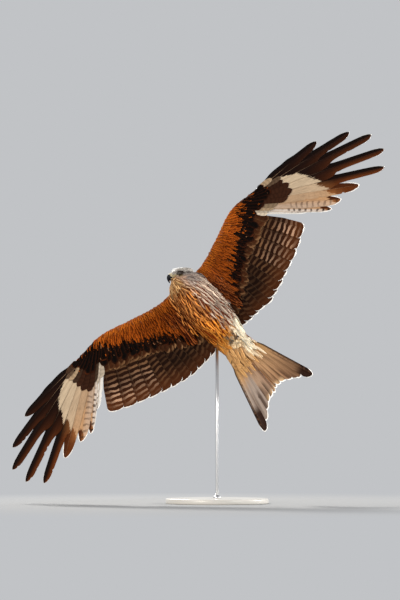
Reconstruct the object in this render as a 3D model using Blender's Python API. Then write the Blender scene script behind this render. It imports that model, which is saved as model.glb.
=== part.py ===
"""Life-size display model of a red kite wheeling in flight, banked on a plain stand.

The bird is modelled in its own frame, x forward, y to its left and z out of its back, and is
then turned into its pose above the stand. Lengths are in metres, +Z is up, and the origin is
the middle of the underside of the stand's base.
"""
import math
import random

import bmesh
import bpy
from mathutils import Matrix, Vector

# The pose of the bird in the display plane, which stands upright along X.
HEADING = math.radians(131.1)
LEAN_BACK = math.radians(2.4)
ROLL = math.radians(8.0)
BODY_PLACE = Vector((-0.031, 0.0, 0.650))

# The gap between one piece and the next where they meet.
GAP = 0.0003

# The trunk: place along the body, half width, half depth and height of the middle.
TRUNK = (
    (-0.150, 0.050, 0.0175, 0.015),
    (-0.120, 0.056, 0.027, 0.011),
    (-0.085, 0.063, 0.038, 0.005),
    (-0.040, 0.069, 0.048, -0.002),
    (0.005, 0.071, 0.055, -0.007),
    (0.050, 0.070, 0.057, -0.008),
    (0.090, 0.065, 0.053, -0.006),
    (0.115, 0.060, 0.048, -0.003),
    (0.135, 0.052, 0.042, -0.001),
    (0.150, 0.042, 0.036, 0.000),
    (0.160, 0.030, 0.027, 0.001),
)
TORSO_SPAN = (-0.150, 0.112)
NECK_END = 0.160
TRUNK_SIDES = 24
TRUNK_FULLNESS = 2.15
TORSO_RINGS = 14
NECK_RINGS = 9
TRUNK_RINGS = 24

# The head: its middle lies at the eyes; place along it, top, bottom and half width.
HEAD_MIDDLE = Vector((0.162, 0.013, 0.004))
HEAD_TURN = math.radians(60.5)
HEAD_SHAPE = (
    (-0.046, -0.001, -0.006, 0.004),
    (-0.043, 0.008, -0.015, 0.012),
    (-0.035, 0.0165, -0.0225, 0.0185),
    (-0.022, 0.0215, -0.027, 0.0238),
    (-0.008, 0.0225, -0.0285, 0.0252),
    (0.005, 0.0212, -0.0275, 0.0238),
    (0.014, 0.0182, -0.025, 0.0198),
    (0.021, 0.0135, -0.0222, 0.0145),
    (0.026, 0.0095, -0.0195, 0.0105),
)
HEAD_SIDES = 24
HEAD_RINGS = 15
HEAD_FULLNESS = 2.2
EYE_RADIUS = 0.0076
EYE_PLACE = (0.0010, 0.0178, 0.0012)
LID_RADIUS = 0.0070
LID_THICK = 0.0013
LID_OUT = 0.0042
LID_FACING = (0.18, 1.0, -0.05)
# The brow juts over the eye: places along, across and up, with its radius.
BROW = (
    (-0.0085, 0.0190, 0.0085, 0.0018),
    (-0.0010, 0.0208, 0.0100, 0.0029),
    (0.0085, 0.0185, 0.0092, 0.0028),
    (0.0165, 0.0132, 0.0062, 0.0016),
)
# The gape: the mouth's line runs back from the bill to below the eye.
GAPE = ((0.0300, 0.0060), (0.0240, 0.0118), (0.0160, 0.0186), (0.0095, 0.0230))
GAPE_HEIGHT = -0.0112
GAPE_DEPTH = 0.0022
GAPE_OPEN = 0.0009
GAPE_CLEAR = 0.004
NOSTRIL = (0.0302, 0.0088, 0.0016)
NOSTRIL_RADIUS = 0.0013

# The bill: its middle line bows down into the hook; place, height, half depth, half width.
UPPER_BILL = (
    (0.0266, -0.0008, 0.0092, 0.0088),
    (0.0315, -0.0016, 0.0092, 0.0080),
    (0.0360, -0.0040, 0.0084, 0.0066),
    (0.0391, -0.0085, 0.0067, 0.0050),
    (0.0405, -0.0140, 0.0046, 0.0034),
    (0.0402, -0.0195, 0.0028, 0.0020),
    (0.0390, -0.0250, 0.0009, 0.0008),
)
LOWER_BILL = (
    (0.0266, -0.0146, 0.0039, 0.0074),
    (0.0300, -0.0148, 0.0034, 0.0064),
    (0.0326, -0.0149, 0.0028, 0.0048),
    (0.0345, -0.0150, 0.0015, 0.0024),
)
BILL_SIDES = 14
BILL_FULLNESS = 2.3

# The wing, flat: x forward and y out along it from the middle of the body.
SHOULDER = (0.105, 0.050)
WRIST = (0.180, 0.322)
SHOULDER_HEIGHT = 0.030
WING_LEAN = math.radians(3.4)
HAND_SWEEP = math.radians(1.5)
# The wing rises by these degrees at the arm, less at the wrist and more again at the tips.
RISE = 12.0
WRIST_DROP = 6.0
TIP_RISE = 10.0
CAMBER = 0.016
FULL_CHORD = 0.260
# The front edge of the arm and how far the wrist stands ahead of it.
LEADING = 0.138
WRIST_AHEAD = 0.064

# Places out along the arm and hand, with their front edge, rear edge and greatest thickness.
WING_CORE = (
    (0.040, 0.138, 0.004, 0.030),
    (0.075, 0.134, 0.002, 0.027),
    (0.105, 0.137, 0.006, 0.025),
    (0.145, 0.146, 0.022, 0.022),
    (0.185, 0.159, 0.046, 0.020),
    (0.225, 0.171, 0.072, 0.0185),
    (0.265, 0.185, 0.099, 0.017),
    (0.305, 0.197, 0.124, 0.016),
    (0.335, 0.201, 0.138, 0.0155),
    (0.365, 0.200, 0.150, 0.014),
    (0.400, 0.197, 0.160, 0.012),
    (0.435, 0.194, 0.168, 0.010),
    (0.460, 0.190, 0.174, 0.0075),
)
CORE_SECTION = ((0.0, 0.0), (0.07, 0.62), (0.25, 1.0), (0.5, 0.88), (0.75, 0.66), (1.0, 0.46))

# Flight feathers of the hand, from the innermost out: length, and angle back from straight out.
PRIMARY_LENGTHS = (0.236, 0.276, 0.305, 0.330, 0.390, 0.484, 0.495, 0.469, 0.394, 0.270)
PRIMARY_ANGLES = (42.0, 43.5, 42.7, 38.4, 32.8, 27.8, 21.4, 14.6, 9.2, 2.8)
PRIMARY_ROOTS = ((0.176, 0.330), (0.184, 0.435))
FINGERS = 5
# The left hand is spread a little further than the right one.
HAND_REACH = {1: 1.05, -1: 0.985}
# The wing is parted at the wrist, along the line between the innermost primary and the
# outermost secondary: a place on the line and its angle back from straight out.
WRIST_PART = (0.174, 0.321)
WRIST_ANGLE = math.radians(47.0)
# Flight feathers of the arm, from the wrist in.
SECONDARIES = 12
SECONDARY_ROOTS = ((0.172, 0.312), (0.088, 0.178), (0.072, 0.098))
ELBOW_SHARE = 0.64
SECONDARY_LENGTHS = (0.249, 0.192)
SECONDARY_ANGLES = (51.7, 99.5)
# Half widths of the vanes, ahead of and behind the shaft, and their thickness.
FLIGHT_WIDTHS = (0.017, 0.034)
COVERT_WIDTHS = (0.015, 0.022)
FLIGHT_THICK = 0.0006
COVERT_THICK = 0.0005
VANE_LEAST = 0.0008
OVERLAP = 0.52
UNEVEN = 0.015
# Each vane passes under its outer neighbour by this step, and each tier lies this far off.
SHINGLE = 0.0010
VANE_CLEARANCE = 0.0006
GREATER_TIER = 0.0027
MEDIAN_TIER = 0.0052
PRIMARY_COVERTS = (0.130, 0.136, 0.141, 0.145, 0.145, 0.135, 0.118, 0.098, 0.078, 0.060)
GREATER_COVERTS = (0.100, 0.086, 0.146)
MEDIAN_COVERTS = (0.070, 0.070, 0.106)

# Outlines of the vanes: place along the shaft, share of the width ahead and behind.
FINGER_VANE = ((0, 0.2, 0.12), (0.12, 0.6, 0.6), (0.25, 1, 1), (0.40, 1, 1), (0.55, 1, 0.95),
               (0.64, 0.72, 0.50), (0.84, 0.6, 0.40), (0.95, 0.42, 0.24), (1, 0.12, 0.04))
FLIGHT_VANE = ((0, 0.2, 0.12), (0.22, 0.9, 0.9), (0.45, 1, 1), (0.72, 1, 1), (0.93, 0.92, 0.9),
               (1, 0.45, 0.4))
TAIL_VANE = ((0, 0.2, 0.12), (0.22, 0.9, 0.9), (0.45, 1, 1), (0.72, 1, 1), (0.93, 0.75, 0.7),
             (1, 0.25, 0.2))
COVERT_VANE = ((0, 0.25, 0.25), (0.42, 1, 1), (0.84, 0.95, 0.85), (1, 0.3, 0.25))
SHORT_VANE = ((0, 0.3, 0.3), (0.72, 1, 1), (1, 0.35, 0.3))

# The tail, flat: x from its root, y out from its middle line; its sides droop a little.
TAIL_ROOT = (-0.150, 0.0, 0.015)
TAIL_TWIST = math.radians(20.0)
TAIL_PITCH = math.radians(8.0)
TAIL_YAW = math.radians(-5.0)
TAIL_CORE = (
    (0.0003, 0.048, 0.0165),
    (0.012, 0.056, 0.0115),
    (0.030, 0.060, 0.0075),
    (0.046, 0.058, 0.0050),
)
# One side's feathers from the outermost in: length, place across at the root, angle outwards.
TAIL_LENGTHS = (0.263, 0.233, 0.209, 0.196, 0.189, 0.186)
TAIL_UNEVEN = 0.022
TAIL_ROOTS = (0.0525, 0.0043)
TAIL_ANGLES = (20.0, 1.5)
TAIL_WIDTHS = (0.013, 0.020)
TAIL_COVERTS = (0.070, 0.058)
TAIL_INSET = 0.020
TAIL_DROOP = 0.6

# The legs lie back under the vent, with the toes closed.
THIGH = ((-0.012, 0.040, 0.017), (-0.045, 0.034, 0.016), (-0.078, 0.024, 0.010))
TARSUS = ((-0.074, 0.025, 0.0062), (-0.098, 0.018, 0.0042), (-0.120, 0.013, 0.0040))
TOE_RADIUS = 0.0029
TOE_CURL = 0.0085
TOE_TURN = (-35.0, 200.0)
TOE_STEPS = 7
TOE_ANGLES = (-34.0, 0.0, 34.0, 180.0)
SHIN_GAP = 0.0015

# The stand.
BASE_RADIUS = 0.175
BASE_THICK = 0.018
ROD_RADIUS = 0.005
ROD_TOP = 0.545
SOCKET_REACH = 0.15

random.seed(11)


def clear_scene():
    for item in list(bpy.data.objects):
        bpy.data.objects.remove(item, do_unlink=True)


def finish_of(name, colour, roughness, metallic=0.0):
    """A plain Principled material."""
    material = bpy.data.materials.new(name)
    material.use_nodes = True
    shader = material.node_tree.nodes["Principled BSDF"]
    shader.inputs["Base Color"].default_value = (*colour, 1.0)
    shader.inputs["Roughness"].default_value = roughness
    shader.inputs["Metallic"].default_value = metallic
    return material


def solid(name, points, faces, material):
    """One closed mesh with its faces turned outwards."""
    mesh = bpy.data.meshes.new(name)
    mesh.from_pydata([tuple(p) for p in points], [], faces)
    shape = bmesh.new()
    shape.from_mesh(mesh)
    bmesh.ops.recalc_face_normals(shape, faces=shape.faces)
    shape.to_mesh(mesh)
    shape.free()
    mesh.materials.append(material)
    item = bpy.data.objects.new(name, mesh)
    bpy.context.scene.collection.objects.link(item)
    return item


def loft(name, rings, material):
    """A closed skin over rings of points, with a fan of triangles at each end."""
    count = len(rings[0])
    points = [p for ring in rings for p in ring]
    faces = []
    for i in range(len(rings) - 1):
        for j in range(count):
            a = i * count + j
            b = i * count + (j + 1) % count
            faces.append((a, b, b + count))
            faces.append((a, b + count, a + count))
    for start in (0, (len(rings) - 1) * count):
        middle = sum((Vector(points[start + j]) for j in range(count)), Vector()) / count
        points.append(middle)
        for j in range(count):
            faces.append((start + j, start + (j + 1) % count, len(points) - 1))
    return solid(name, points, faces, material)


def follow(stations, at):
    """Sizes at a place on the smooth curve through stations, each a place and its sizes."""
    last = len(stations) - 1
    i = 0
    while i < last - 1 and at > stations[i + 1][0]:
        i += 1
    before, start, end, after = (stations[max(0, min(last, i + k))] for k in (-1, 0, 1, 2))
    step = end[0] - start[0]
    t = (at - start[0]) / step
    sizes = []
    for k in range(1, len(start)):
        slope_in = (end[k] - before[k]) / (end[0] - before[0]) * step
        slope_out = (after[k] - start[k]) / (after[0] - start[0]) * step
        sizes.append((2 * t**3 - 3 * t**2 + 1) * start[k] + (t**3 - 2 * t**2 + t) * slope_in
                     + (3 * t**2 - 2 * t**3) * end[k] + (t**3 - t**2) * slope_out)
    return sizes


def boolean(item, other, operation, solver="EXACT"):
    """Joins or cuts an object by another one or by a collection, and applies it."""
    step = item.modifiers.new(operation, "BOOLEAN")
    step.operation = operation
    step.solver = solver
    if isinstance(other, bpy.types.Collection):
        step.operand_type = "COLLECTION"
        step.collection = other
    else:
        step.object = other
    bpy.context.view_layer.update()
    shape = item.evaluated_get(bpy.context.evaluated_depsgraph_get())
    mesh = bpy.data.meshes.new_from_object(shape)
    item.modifiers.clear()
    item.data = mesh


def keep_largest(item):
    """Keeps the largest closed surface of an object and drops any other."""
    shape = bmesh.new()
    shape.from_mesh(item.data)
    groups = []
    left = set(shape.faces)
    while left:
        todo = [left.pop()]
        group = list(todo)
        while todo:
            for edge in todo.pop().edges:
                for face in edge.link_faces:
                    if face in left:
                        left.remove(face)
                        todo.append(face)
                        group.append(face)
        groups.append(group)
    groups.sort(key=lambda g: sum(f.calc_area() for f in g), reverse=True)
    spare = [face for group in groups[1:] for face in group]
    bmesh.ops.delete(shape, geom=spare, context="FACES")
    loose = [v for v in shape.verts if not v.link_faces]
    bmesh.ops.delete(shape, geom=loose, context="VERTS")
    shape.to_mesh(item.data)
    shape.free()


def fuse(item, pieces, solver="EXACT"):
    """Joins pieces to an object in one union and removes them."""
    group = bpy.data.collections.new(item.name + "_pieces")
    bpy.context.scene.collection.children.link(group)
    for piece in pieces:
        group.objects.link(piece)
    boolean(item, group, "UNION", solver)
    for piece in pieces:
        bpy.data.objects.remove(piece, do_unlink=True)
    bpy.data.collections.remove(group)
    keep_largest(item)


def cut(item, cutter, solver="EXACT"):
    """Cuts an object by a cutter and removes the cutter."""
    boolean(item, cutter, "DIFFERENCE", solver)
    bpy.data.objects.remove(cutter, do_unlink=True)
    keep_largest(item)


def ellipse(middle, across, upwards, sides, fullness=2.0):
    """A ring round a middle; fullness above 2 squares it up a little."""
    ring = []
    for i in range(sides):
        angle = 2 * math.pi * (i + 0.5) / sides
        c = math.cos(angle)
        s = math.sin(angle)
        p = 2.0 / fullness
        sideways = across * math.copysign(abs(c)**p, c)
        ring.append(middle + sideways + upwards * math.copysign(abs(s)**p, s))
    return ring


# Torso and neck share one smooth trunk, parted by a thin plane gap.
def trunk(name, start, end, stations, material, grow=0.0):
    rings = []
    for i in range(stations):
        at = start + (end - start) * i / (stations - 1)
        half_width, half_depth, height = follow(TRUNK, at)
        across = Vector((0, half_width + grow, 0))
        upwards = Vector((0, 0, half_depth + grow))
        middle = Vector((at, 0, height))
        rings.append(ellipse(middle, across, upwards, TRUNK_SIDES, TRUNK_FULLNESS))
    return loft(name, rings, material)


# The head's frame: it is turned to the bird's right and laid over, left cheek to the viewer.
def head_frame():
    turn = Matrix.Rotation(-ROLL, 4, "X")
    forward = Vector((math.cos(HEAD_TURN), -math.sin(HEAD_TURN), 0))
    left = Vector((0, 0, -1))
    up = forward.cross(left)
    axes = Matrix((forward, left, up)).transposed().to_4x4()
    return turn @ Matrix.Translation(HEAD_MIDDLE) @ axes


def head_loft(name, material, grow=0.0):
    rings = []
    first = HEAD_SHAPE[0][0]
    last = HEAD_SHAPE[-1][0]
    for i in range(HEAD_RINGS):
        at = first + (last - first) * 0.5 * (1 - math.cos(math.pi * i / (HEAD_RINGS - 1)))
        top, bottom, half_width = follow(HEAD_SHAPE, at)
        middle = Vector((at, 0, (top + bottom) / 2))
        across = Vector((0, half_width + grow, 0))
        upwards = Vector((0, 0, (top - bottom) / 2 + grow))
        rings.append(ellipse(middle, across, upwards, HEAD_SIDES, HEAD_FULLNESS))
    rings[0] = [p + Vector((-grow, 0, 0)) for p in rings[0]]
    item = loft(name, rings, material)
    item.data.transform(head_frame())
    return item


def ball(name, middle, radius, material, columns=14, rows=9):
    """A round ball turned about its sideways axis."""
    rings = []
    for i in range(1, rows):
        angle = math.pi * i / rows
        ring_middle = middle + Vector((0, radius * math.cos(angle), 0))
        size = radius * math.sin(angle)
        rings.append(ellipse(ring_middle, Vector((size, 0, 0)), Vector((0, 0, size)), columns))
    points = [p for ring in rings for p in ring]
    faces = []
    for i in range(len(rings) - 1):
        for j in range(columns):
            a = i * columns + j
            b = i * columns + (j + 1) % columns
            faces.append((a, b, b + columns))
            faces.append((a, b + columns, a + columns))
    for start, side in ((0, 1), ((len(rings) - 1) * columns, -1)):
        points.append(middle + Vector((0, side * radius, 0)))
        for j in range(columns):
            faces.append((start + j, start + (j + 1) % columns, len(points) - 1))
    return solid(name, points, faces, material)


def lid_ring(name, side, material):
    """The lid: a thin ring round the eye, facing out and a little forward."""
    x, y, z = EYE_PLACE
    middle = Vector((x, side * (y + LID_OUT), z))
    outwards = Vector((LID_FACING[0], side * LID_FACING[1], LID_FACING[2])).normalized()
    along = outwards.cross(Vector((0, 0, 1))).normalized()
    upwards = along.cross(outwards)
    steps = 16
    sides = 5
    points = []
    faces = []
    for i in range(steps):
        angle = 2 * math.pi * i / steps
        rim = along * math.cos(angle) + upwards * math.sin(angle)
        for j in range(sides):
            turn = 2 * math.pi * j / sides
            radius = LID_RADIUS + LID_THICK * math.cos(turn)
            points.append(middle + rim * radius + outwards * (LID_THICK * math.sin(turn)))
    for i in range(steps):
        for j in range(sides):
            a = i * sides + j
            b = i * sides + (j + 1) % sides
            c = ((i + 1) % steps) * sides + (j + 1) % sides
            d = ((i + 1) % steps) * sides + j
            faces.append((a, b, c))
            faces.append((a, c, d))
    return solid(name, points, faces, material)


def gape_cutter(side, material):
    """A thin wedge along the mouth's line on one cheek."""
    rings = []
    for x, y in GAPE:
        ring = []
        corners = ((-GAPE_DEPTH, 0.0), (GAPE_CLEAR, GAPE_OPEN), (GAPE_CLEAR, -GAPE_OPEN))
        for reach, height in corners:
            ring.append(Vector((x, side * (y + reach), GAPE_HEIGHT + height)))
        rings.append(ring)
    return loft("gape", rings, material)


def build_head(material):
    """The head with its brows and lids; the eye sockets and the mouth's line are cut in."""
    head = head_loft("head", material)
    frame = head_frame()
    added = []
    for side in (1, -1):
        added.append(lid_ring("lid", side, material))
        brow = [Vector((x, side * y, z)) for x, y, z, _ in BROW]
        added.append(tube("brow", brow, [radius for _, _, _, radius in BROW], 7, material))
    for piece in added:
        piece.data.transform(frame)
    fuse(head, added, "MANIFOLD")
    for side in (1, -1):
        x, y, z = EYE_PLACE
        socket = ball("socket", Vector((x, side * y, z)), EYE_RADIUS + GAP, material)
        for cutter in (socket, gape_cutter(side, material)):
            cutter.data.transform(frame)
            cut(head, cutter, "MANIFOLD")
    return head


def pierce_nostrils(beak, material):
    for side in (1, -1):
        x, y, z = NOSTRIL
        nostril = ball("nostril", Vector((x, side * y, z)), NOSTRIL_RADIUS, material, 8, 5)
        nostril.data.transform(head_frame())
        cut(beak, nostril, "MANIFOLD")
    return beak


def build_eye(name, side, material):
    x, y, z = EYE_PLACE
    eye = ball(name, Vector((x, side * y, z)), EYE_RADIUS, material)
    eye.data.transform(head_frame())
    return eye


def bill_loft(name, shape, material, grow=0.0):
    """A bill half: rings set square to its bowed middle line, the first one upright."""
    rings = []
    for i, (at, height, half_depth, half_width) in enumerate(shape):
        ahead = shape[min(i + 1, len(shape) - 1)]
        behind = shape[max(i - 1, 0)]
        along = Vector((ahead[0] - behind[0], 0, ahead[1] - behind[1])).normalized()
        if i == 0:
            along = Vector((1, 0, 0))
        upwards = Vector((-along.z, 0, along.x)) * (half_depth + grow)
        across = Vector((0, half_width + grow, 0))
        rings.append(ellipse(Vector((at, 0, height)), across, upwards, BILL_SIDES, BILL_FULLNESS))
    item = loft(name, rings, material)
    item.data.transform(head_frame())
    return item


# The wing's surface: flat places are bent up along the wing and bowed from front to back.
def wing_curve(y):
    """Place across and height of the wing at a distance out along it, with its slope."""
    steps = 24
    across = 0.0
    height = 0.0
    for i in range(steps):
        at = SHOULDER[1] + (y - SHOULDER[1]) * (i + 0.5) / steps
        slope = wing_slope(at)
        across += math.cos(slope) * (y - SHOULDER[1]) / steps
        height += math.sin(slope) * (y - SHOULDER[1]) / steps
    return SHOULDER[1] + across, SHOULDER_HEIGHT + height, wing_slope(y)


def ease(low, high, value):
    t = max(0.0, min(1.0, (value - low) / (high - low)))
    return t * t * (3 - 2 * t)


def wing_slope(y):
    """Raised along the arm, flatter at the wrist, and bent up again towards the tips."""
    slope = RISE - WRIST_DROP * ease(0.26, 0.44, y) + TIP_RISE * ease(0.50, 0.90, y)
    return math.radians(slope)


def wing_point(side, x, y, n):
    """A point n above the wing's surface at a flat place, for one side of the bird."""
    sweep = -side * HAND_SWEEP * ease(WRIST[1] - 0.01, WRIST[1] + 0.08, y)
    dx = x - WRIST[0]
    dy = y - WRIST[1]
    x = WRIST[0] + dx * math.cos(sweep) + dy * math.sin(sweep)
    y = WRIST[1] + dy * math.cos(sweep) - dx * math.sin(sweep)
    leading = LEADING + WRIST_AHEAD * ease(0.08, 0.33, y)
    chord = max(0.0, (leading - x) / FULL_CHORD)
    bow = CAMBER * (1 - 0.7 * ease(0.30, 0.60, y)) * (1 - ((chord - 0.35) / 0.65)**2)
    across, height, slope = wing_curve(y)
    lift = bow + n
    across -= math.sin(slope) * lift
    height += math.cos(slope) * lift
    lean = side * WING_LEAN
    dx = x - SHOULDER[0]
    dy = across - SHOULDER[1]
    x = SHOULDER[0] + dx * math.cos(lean) + dy * math.sin(lean)
    across = SHOULDER[1] + dy * math.cos(lean) - dx * math.sin(lean)
    return Vector((x, side * across, height))


def core_section(side, y, leading, rear, thick):
    """The ring of one section, along its upper side and back along its lower side."""
    upper = []
    lower = []
    for along, share in CORE_SECTION:
        x = leading + (rear - leading) * along
        upper.append(wing_point(side, x, y, thick / 2 * share))
        if along > 0:
            lower.append(wing_point(side, x, y, -thick / 2 * share))
    return upper + lower[::-1]


def between(low, high, share):
    return low + (high - low) * share


def three_way(sizes, share):
    """A size that runs from the first through the second, half way, to the third."""
    if share < 0.5:
        return between(sizes[0], sizes[1], share * 2)
    return between(sizes[1], sizes[2], share * 2 - 1)


def primary_shafts(side):
    """Roots, directions and lengths of one hand's feathers, from the outermost in."""
    shafts = []
    count = len(PRIMARY_LENGTHS)
    for k in reversed(range(count)):
        share = k / (count - 1)
        root = [between(PRIMARY_ROOTS[0][i], PRIMARY_ROOTS[1][i], share) for i in (0, 1)]
        angle = math.radians(PRIMARY_ANGLES[k])
        length = PRIMARY_LENGTHS[k] * HAND_REACH[side]
        shafts.append((root, (-math.sin(angle), math.cos(angle)), length))
    return shafts


def secondary_shafts():
    """Roots, directions and lengths of the arm's feathers, from the wrist in."""
    shafts = []
    for k in range(SECONDARIES):
        share = k / (SECONDARIES - 1)
        wrist, elbow, shoulder = SECONDARY_ROOTS
        if share < ELBOW_SHARE:
            along_arm = share / ELBOW_SHARE
            root = [between(wrist[i], elbow[i], along_arm) for i in (0, 1)]
        else:
            along_arm = (share - ELBOW_SHARE) / (1 - ELBOW_SHARE)
            root = [between(elbow[i], shoulder[i], along_arm) for i in (0, 1)]
        angle = math.radians(between(*SECONDARY_ANGLES, 1 - (1 - share)**1.4))
        length = between(*SECONDARY_LENGTHS, share)
        shafts.append((root, (-math.sin(angle), math.cos(angle)), length))
    return shafts


def distance_to_shaft(point, shaft):
    root, along, _ = shaft
    return abs((point[0] - root[0]) * along[1] - (point[1] - root[1]) * along[0])


def web(width, space, share, walled):
    """Width of a vane on one side, kept inside its share of the space to its neighbour."""
    if walled:
        return max(VANE_LEAST, min(width, space - VANE_CLEARANCE))
    return min(width, share * space)


def vane(surface, shaft, ahead, behind, walls, outline, widths, layer, thick, material):
    """One vane on a surface. It dips behind its shaft, under the next vane's front."""
    root, along, length = shaft
    across = (-along[1], along[0])
    rings = []
    for share, ahead_share, behind_share in outline:
        x = root[0] + along[0] * length * share
        y = root[1] + along[1] * length * share
        ahead_space = distance_to_shaft((x, y), ahead) if ahead else widths[1]
        behind_space = distance_to_shaft((x, y), behind) if behind else widths[1]
        ahead_width = web(widths[0] * ahead_share, ahead_space, OVERLAP, walls[0])
        behind_width = web(widths[1] * behind_share, behind_space, 1.0, walls[1])
        rise = SHINGLE * ahead_width / ahead_space
        dip = -SHINGLE * behind_width / behind_space
        half = thick / 2 if share < 1 else thick / 3
        front = (x - across[0] * ahead_width, y - across[1] * ahead_width)
        rear = (x + across[0] * behind_width, y + across[1] * behind_width)
        rings.append([surface(*front, layer + rise + half), surface(*rear, layer + dip + half),
                      surface(*rear, layer + dip - half), surface(*front, layer + rise - half)])
    points = [p for ring in rings for p in ring]
    faces = [(0, 1, 2), (0, 2, 3)]
    for i in range(len(rings) - 1):
        a = i * 4
        b = a + 4
        faces += [(a, a + 1, b + 1), (a, b + 1, b)]
        faces += [(a + 3, a + 2, b + 2), (a + 3, b + 2, b + 3)]
        faces += [(a + 1, a + 2, b + 2), (a + 1, b + 2, b + 1)]
        faces += [(a, a + 3, b + 3), (a, b + 3, b)]
    end = len(points) - 4
    faces += [(end, end + 1, end + 2), (end, end + 2, end + 3)]
    return solid("vane", points, faces, material)


def vane_row(surface, shafts, outlines, widths, layer, thick, material, walls=(None, None)):
    """A row of overlapping vanes, from the outermost in; a wall is a line that none crosses."""
    vanes = []
    last = len(shafts) - 1
    for k, shaft in enumerate(shafts):
        ahead = shafts[k - 1] if k > 0 else walls[0]
        behind = shafts[k + 1] if k < last else walls[1]
        walled = (k == 0 and walls[0] is not None, k == last and walls[1] is not None)
        root, along, length = shaft
        varied = (root, along, length * random.uniform(1 - UNEVEN, 1 + UNEVEN))
        piece = vane(surface, varied, ahead, behind, walled, outlines[k], widths, layer, thick,
                     material)
        vanes.append(piece)
    return vanes


def shortened(shafts, lengths):
    """The same shafts cut to the lengths of a tier of coverts."""
    return [(root, along, length) for (root, along, _), length in zip(shafts, lengths)]


def halve(item, place, normal):
    """Cuts away what lies beyond a plane and closes the cut."""
    shape = bmesh.new()
    shape.from_mesh(item.data)
    everything = shape.verts[:] + shape.edges[:] + shape.faces[:]
    bmesh.ops.bisect_plane(shape, geom=everything, dist=1e-7, plane_co=place, plane_no=normal,
                           clear_outer=True)
    rim = [edge for edge in shape.edges if edge.is_boundary]
    bmesh.ops.holes_fill(shape, edges=rim)
    bmesh.ops.recalc_face_normals(shape, faces=shape.faces)
    shape.to_mesh(item.data)
    shape.free()


def wing_node(name, side, material, hand):
    """The arm or the hand of one wing: its core, its flight feathers and their coverts."""
    core = loft(name, [core_section(side, *place) for place in WING_CORE], material)

    def surface(x, y, n):
        return wing_point(side, x, y, n)

    x, y = WRIST_PART
    along = (-math.sin(WRIST_ANGLE), math.cos(WRIST_ANGLE))
    step = 0.02
    middle = surface(x, y, 0)
    rear_end = surface(x + along[0] * step, y + along[1] * step, 0)
    front_end = surface(x - along[0] * step, y - along[1] * step, 0)
    upwards = surface(x, y, step) - surface(x, y, -step)
    outwards = (rear_end - front_end).cross(upwards).normalized()
    if outwards.y * side < 0:
        outwards.negate()
    if hand:
        outwards.negate()
    halve(core, middle - outwards * GAP / 2, outwards)

    wall = ((x, y), along, 0)
    if hand:
        shafts = primary_shafts(side)
        outlines = [FINGER_VANE] * FINGERS + [FLIGHT_VANE] * (len(shafts) - FINGERS)
        greater = PRIMARY_COVERTS[::-1]
        median = []
        walls = (None, wall)
    else:
        shafts = secondary_shafts()
        outlines = [FLIGHT_VANE] * SECONDARIES
        shares = [k / (SECONDARIES - 1) for k in range(SECONDARIES)]
        greater = [three_way(GREATER_COVERTS, share) for share in shares]
        median = [three_way(MEDIAN_COVERTS, share) for share in shares]
        walls = (wall, None)
    count = len(shafts)
    pieces = vane_row(surface, shafts, outlines, FLIGHT_WIDTHS, 0.0, FLIGHT_THICK, material, walls)
    for face in (-1, 1):
        pieces += vane_row(surface, shortened(shafts, greater), [COVERT_VANE] * count, COVERT_WIDTHS,
                           face * GREATER_TIER, COVERT_THICK, material, walls)
        pieces += vane_row(surface, shortened(shafts, median), [SHORT_VANE] * len(median), COVERT_WIDTHS,
                           face * MEDIAN_TIER, COVERT_THICK, material, walls)
    fuse(core, pieces, "MANIFOLD")
    if not hand:
        cut(core, trunk("trunk", TORSO_SPAN[0], NECK_END, TRUNK_RINGS, material, GAP), "MANIFOLD")
    return core


def tail_frame():
    """The tail is twisted as a rudder and lifted a little."""
    twist = Matrix.Rotation(TAIL_TWIST, 4, "X")
    pitch = Matrix.Rotation(TAIL_PITCH, 4, "Y")
    yaw = Matrix.Rotation(TAIL_YAW, 4, "Z")
    return Matrix.Translation(TAIL_ROOT) @ twist @ pitch @ yaw


def build_tail(material):
    """A flat core with twelve overlapping feathers, forked, and coverts above and below."""
    rings = []
    for back, half_width, half_thick in TAIL_CORE:
        middle = Vector((-back, 0, 0))
        across = Vector((0, half_width, 0))
        rings.append(ellipse(middle, across, Vector((0, 0, half_thick)), TRUNK_SIDES, 2.6))
    tail = loft("tail", rings, material)
    pieces = []
    for side in (1, -1):
        def surface(x, y, n):
            return Vector((x, side * max(y, GAP), n - TAIL_DROOP * y * y))

        shafts = []
        count = len(TAIL_LENGTHS)
        for k, length in enumerate(TAIL_LENGTHS):
            share = k / (count - 1)
            angle = math.radians(between(*TAIL_ANGLES, share))
            root = (-TAIL_INSET, between(*TAIL_ROOTS, share))
            direction = (-math.cos(angle), math.sin(angle))
            shafts.append((root, direction, length * (1 - side * TAIL_UNEVEN)))
        pieces += vane_row(surface, shafts, [TAIL_VANE] * count, TAIL_WIDTHS, 0.0, FLIGHT_THICK, material)
        for face in (-1, 1):
            coverts = [between(*TAIL_COVERTS, k / (count - 1)) for k in range(count)]
            pieces += vane_row(surface, shortened(shafts, coverts)[1:], [SHORT_VANE] * (count - 1),
                               COVERT_WIDTHS, face * GREATER_TIER, COVERT_THICK, material)
    fuse(tail, pieces, "MANIFOLD")
    tail.data.transform(tail_frame())
    body = trunk("trunk", TORSO_SPAN[0] - GAP, TORSO_SPAN[1], TORSO_RINGS, material, GAP)
    cut(tail, body, "MANIFOLD")
    return tail


def tube(name, points, radii, sides, material):
    """A tapered tube through points."""
    rings = []
    for i, (point, radius) in enumerate(zip(points, radii)):
        ahead = Vector(points[min(i + 1, len(points) - 1)])
        behind = Vector(points[max(i - 1, 0)])
        along = (ahead - behind).normalized()
        across = along.cross(Vector((0, 0, 1)))
        if across.length < 0.1:
            across = along.cross(Vector((0, 1, 0)))
        across.normalize()
        upwards = across.cross(along)
        rings.append(ellipse(Vector(point), across * radius, upwards * radius, sides))
    return loft(name, rings, material)


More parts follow.
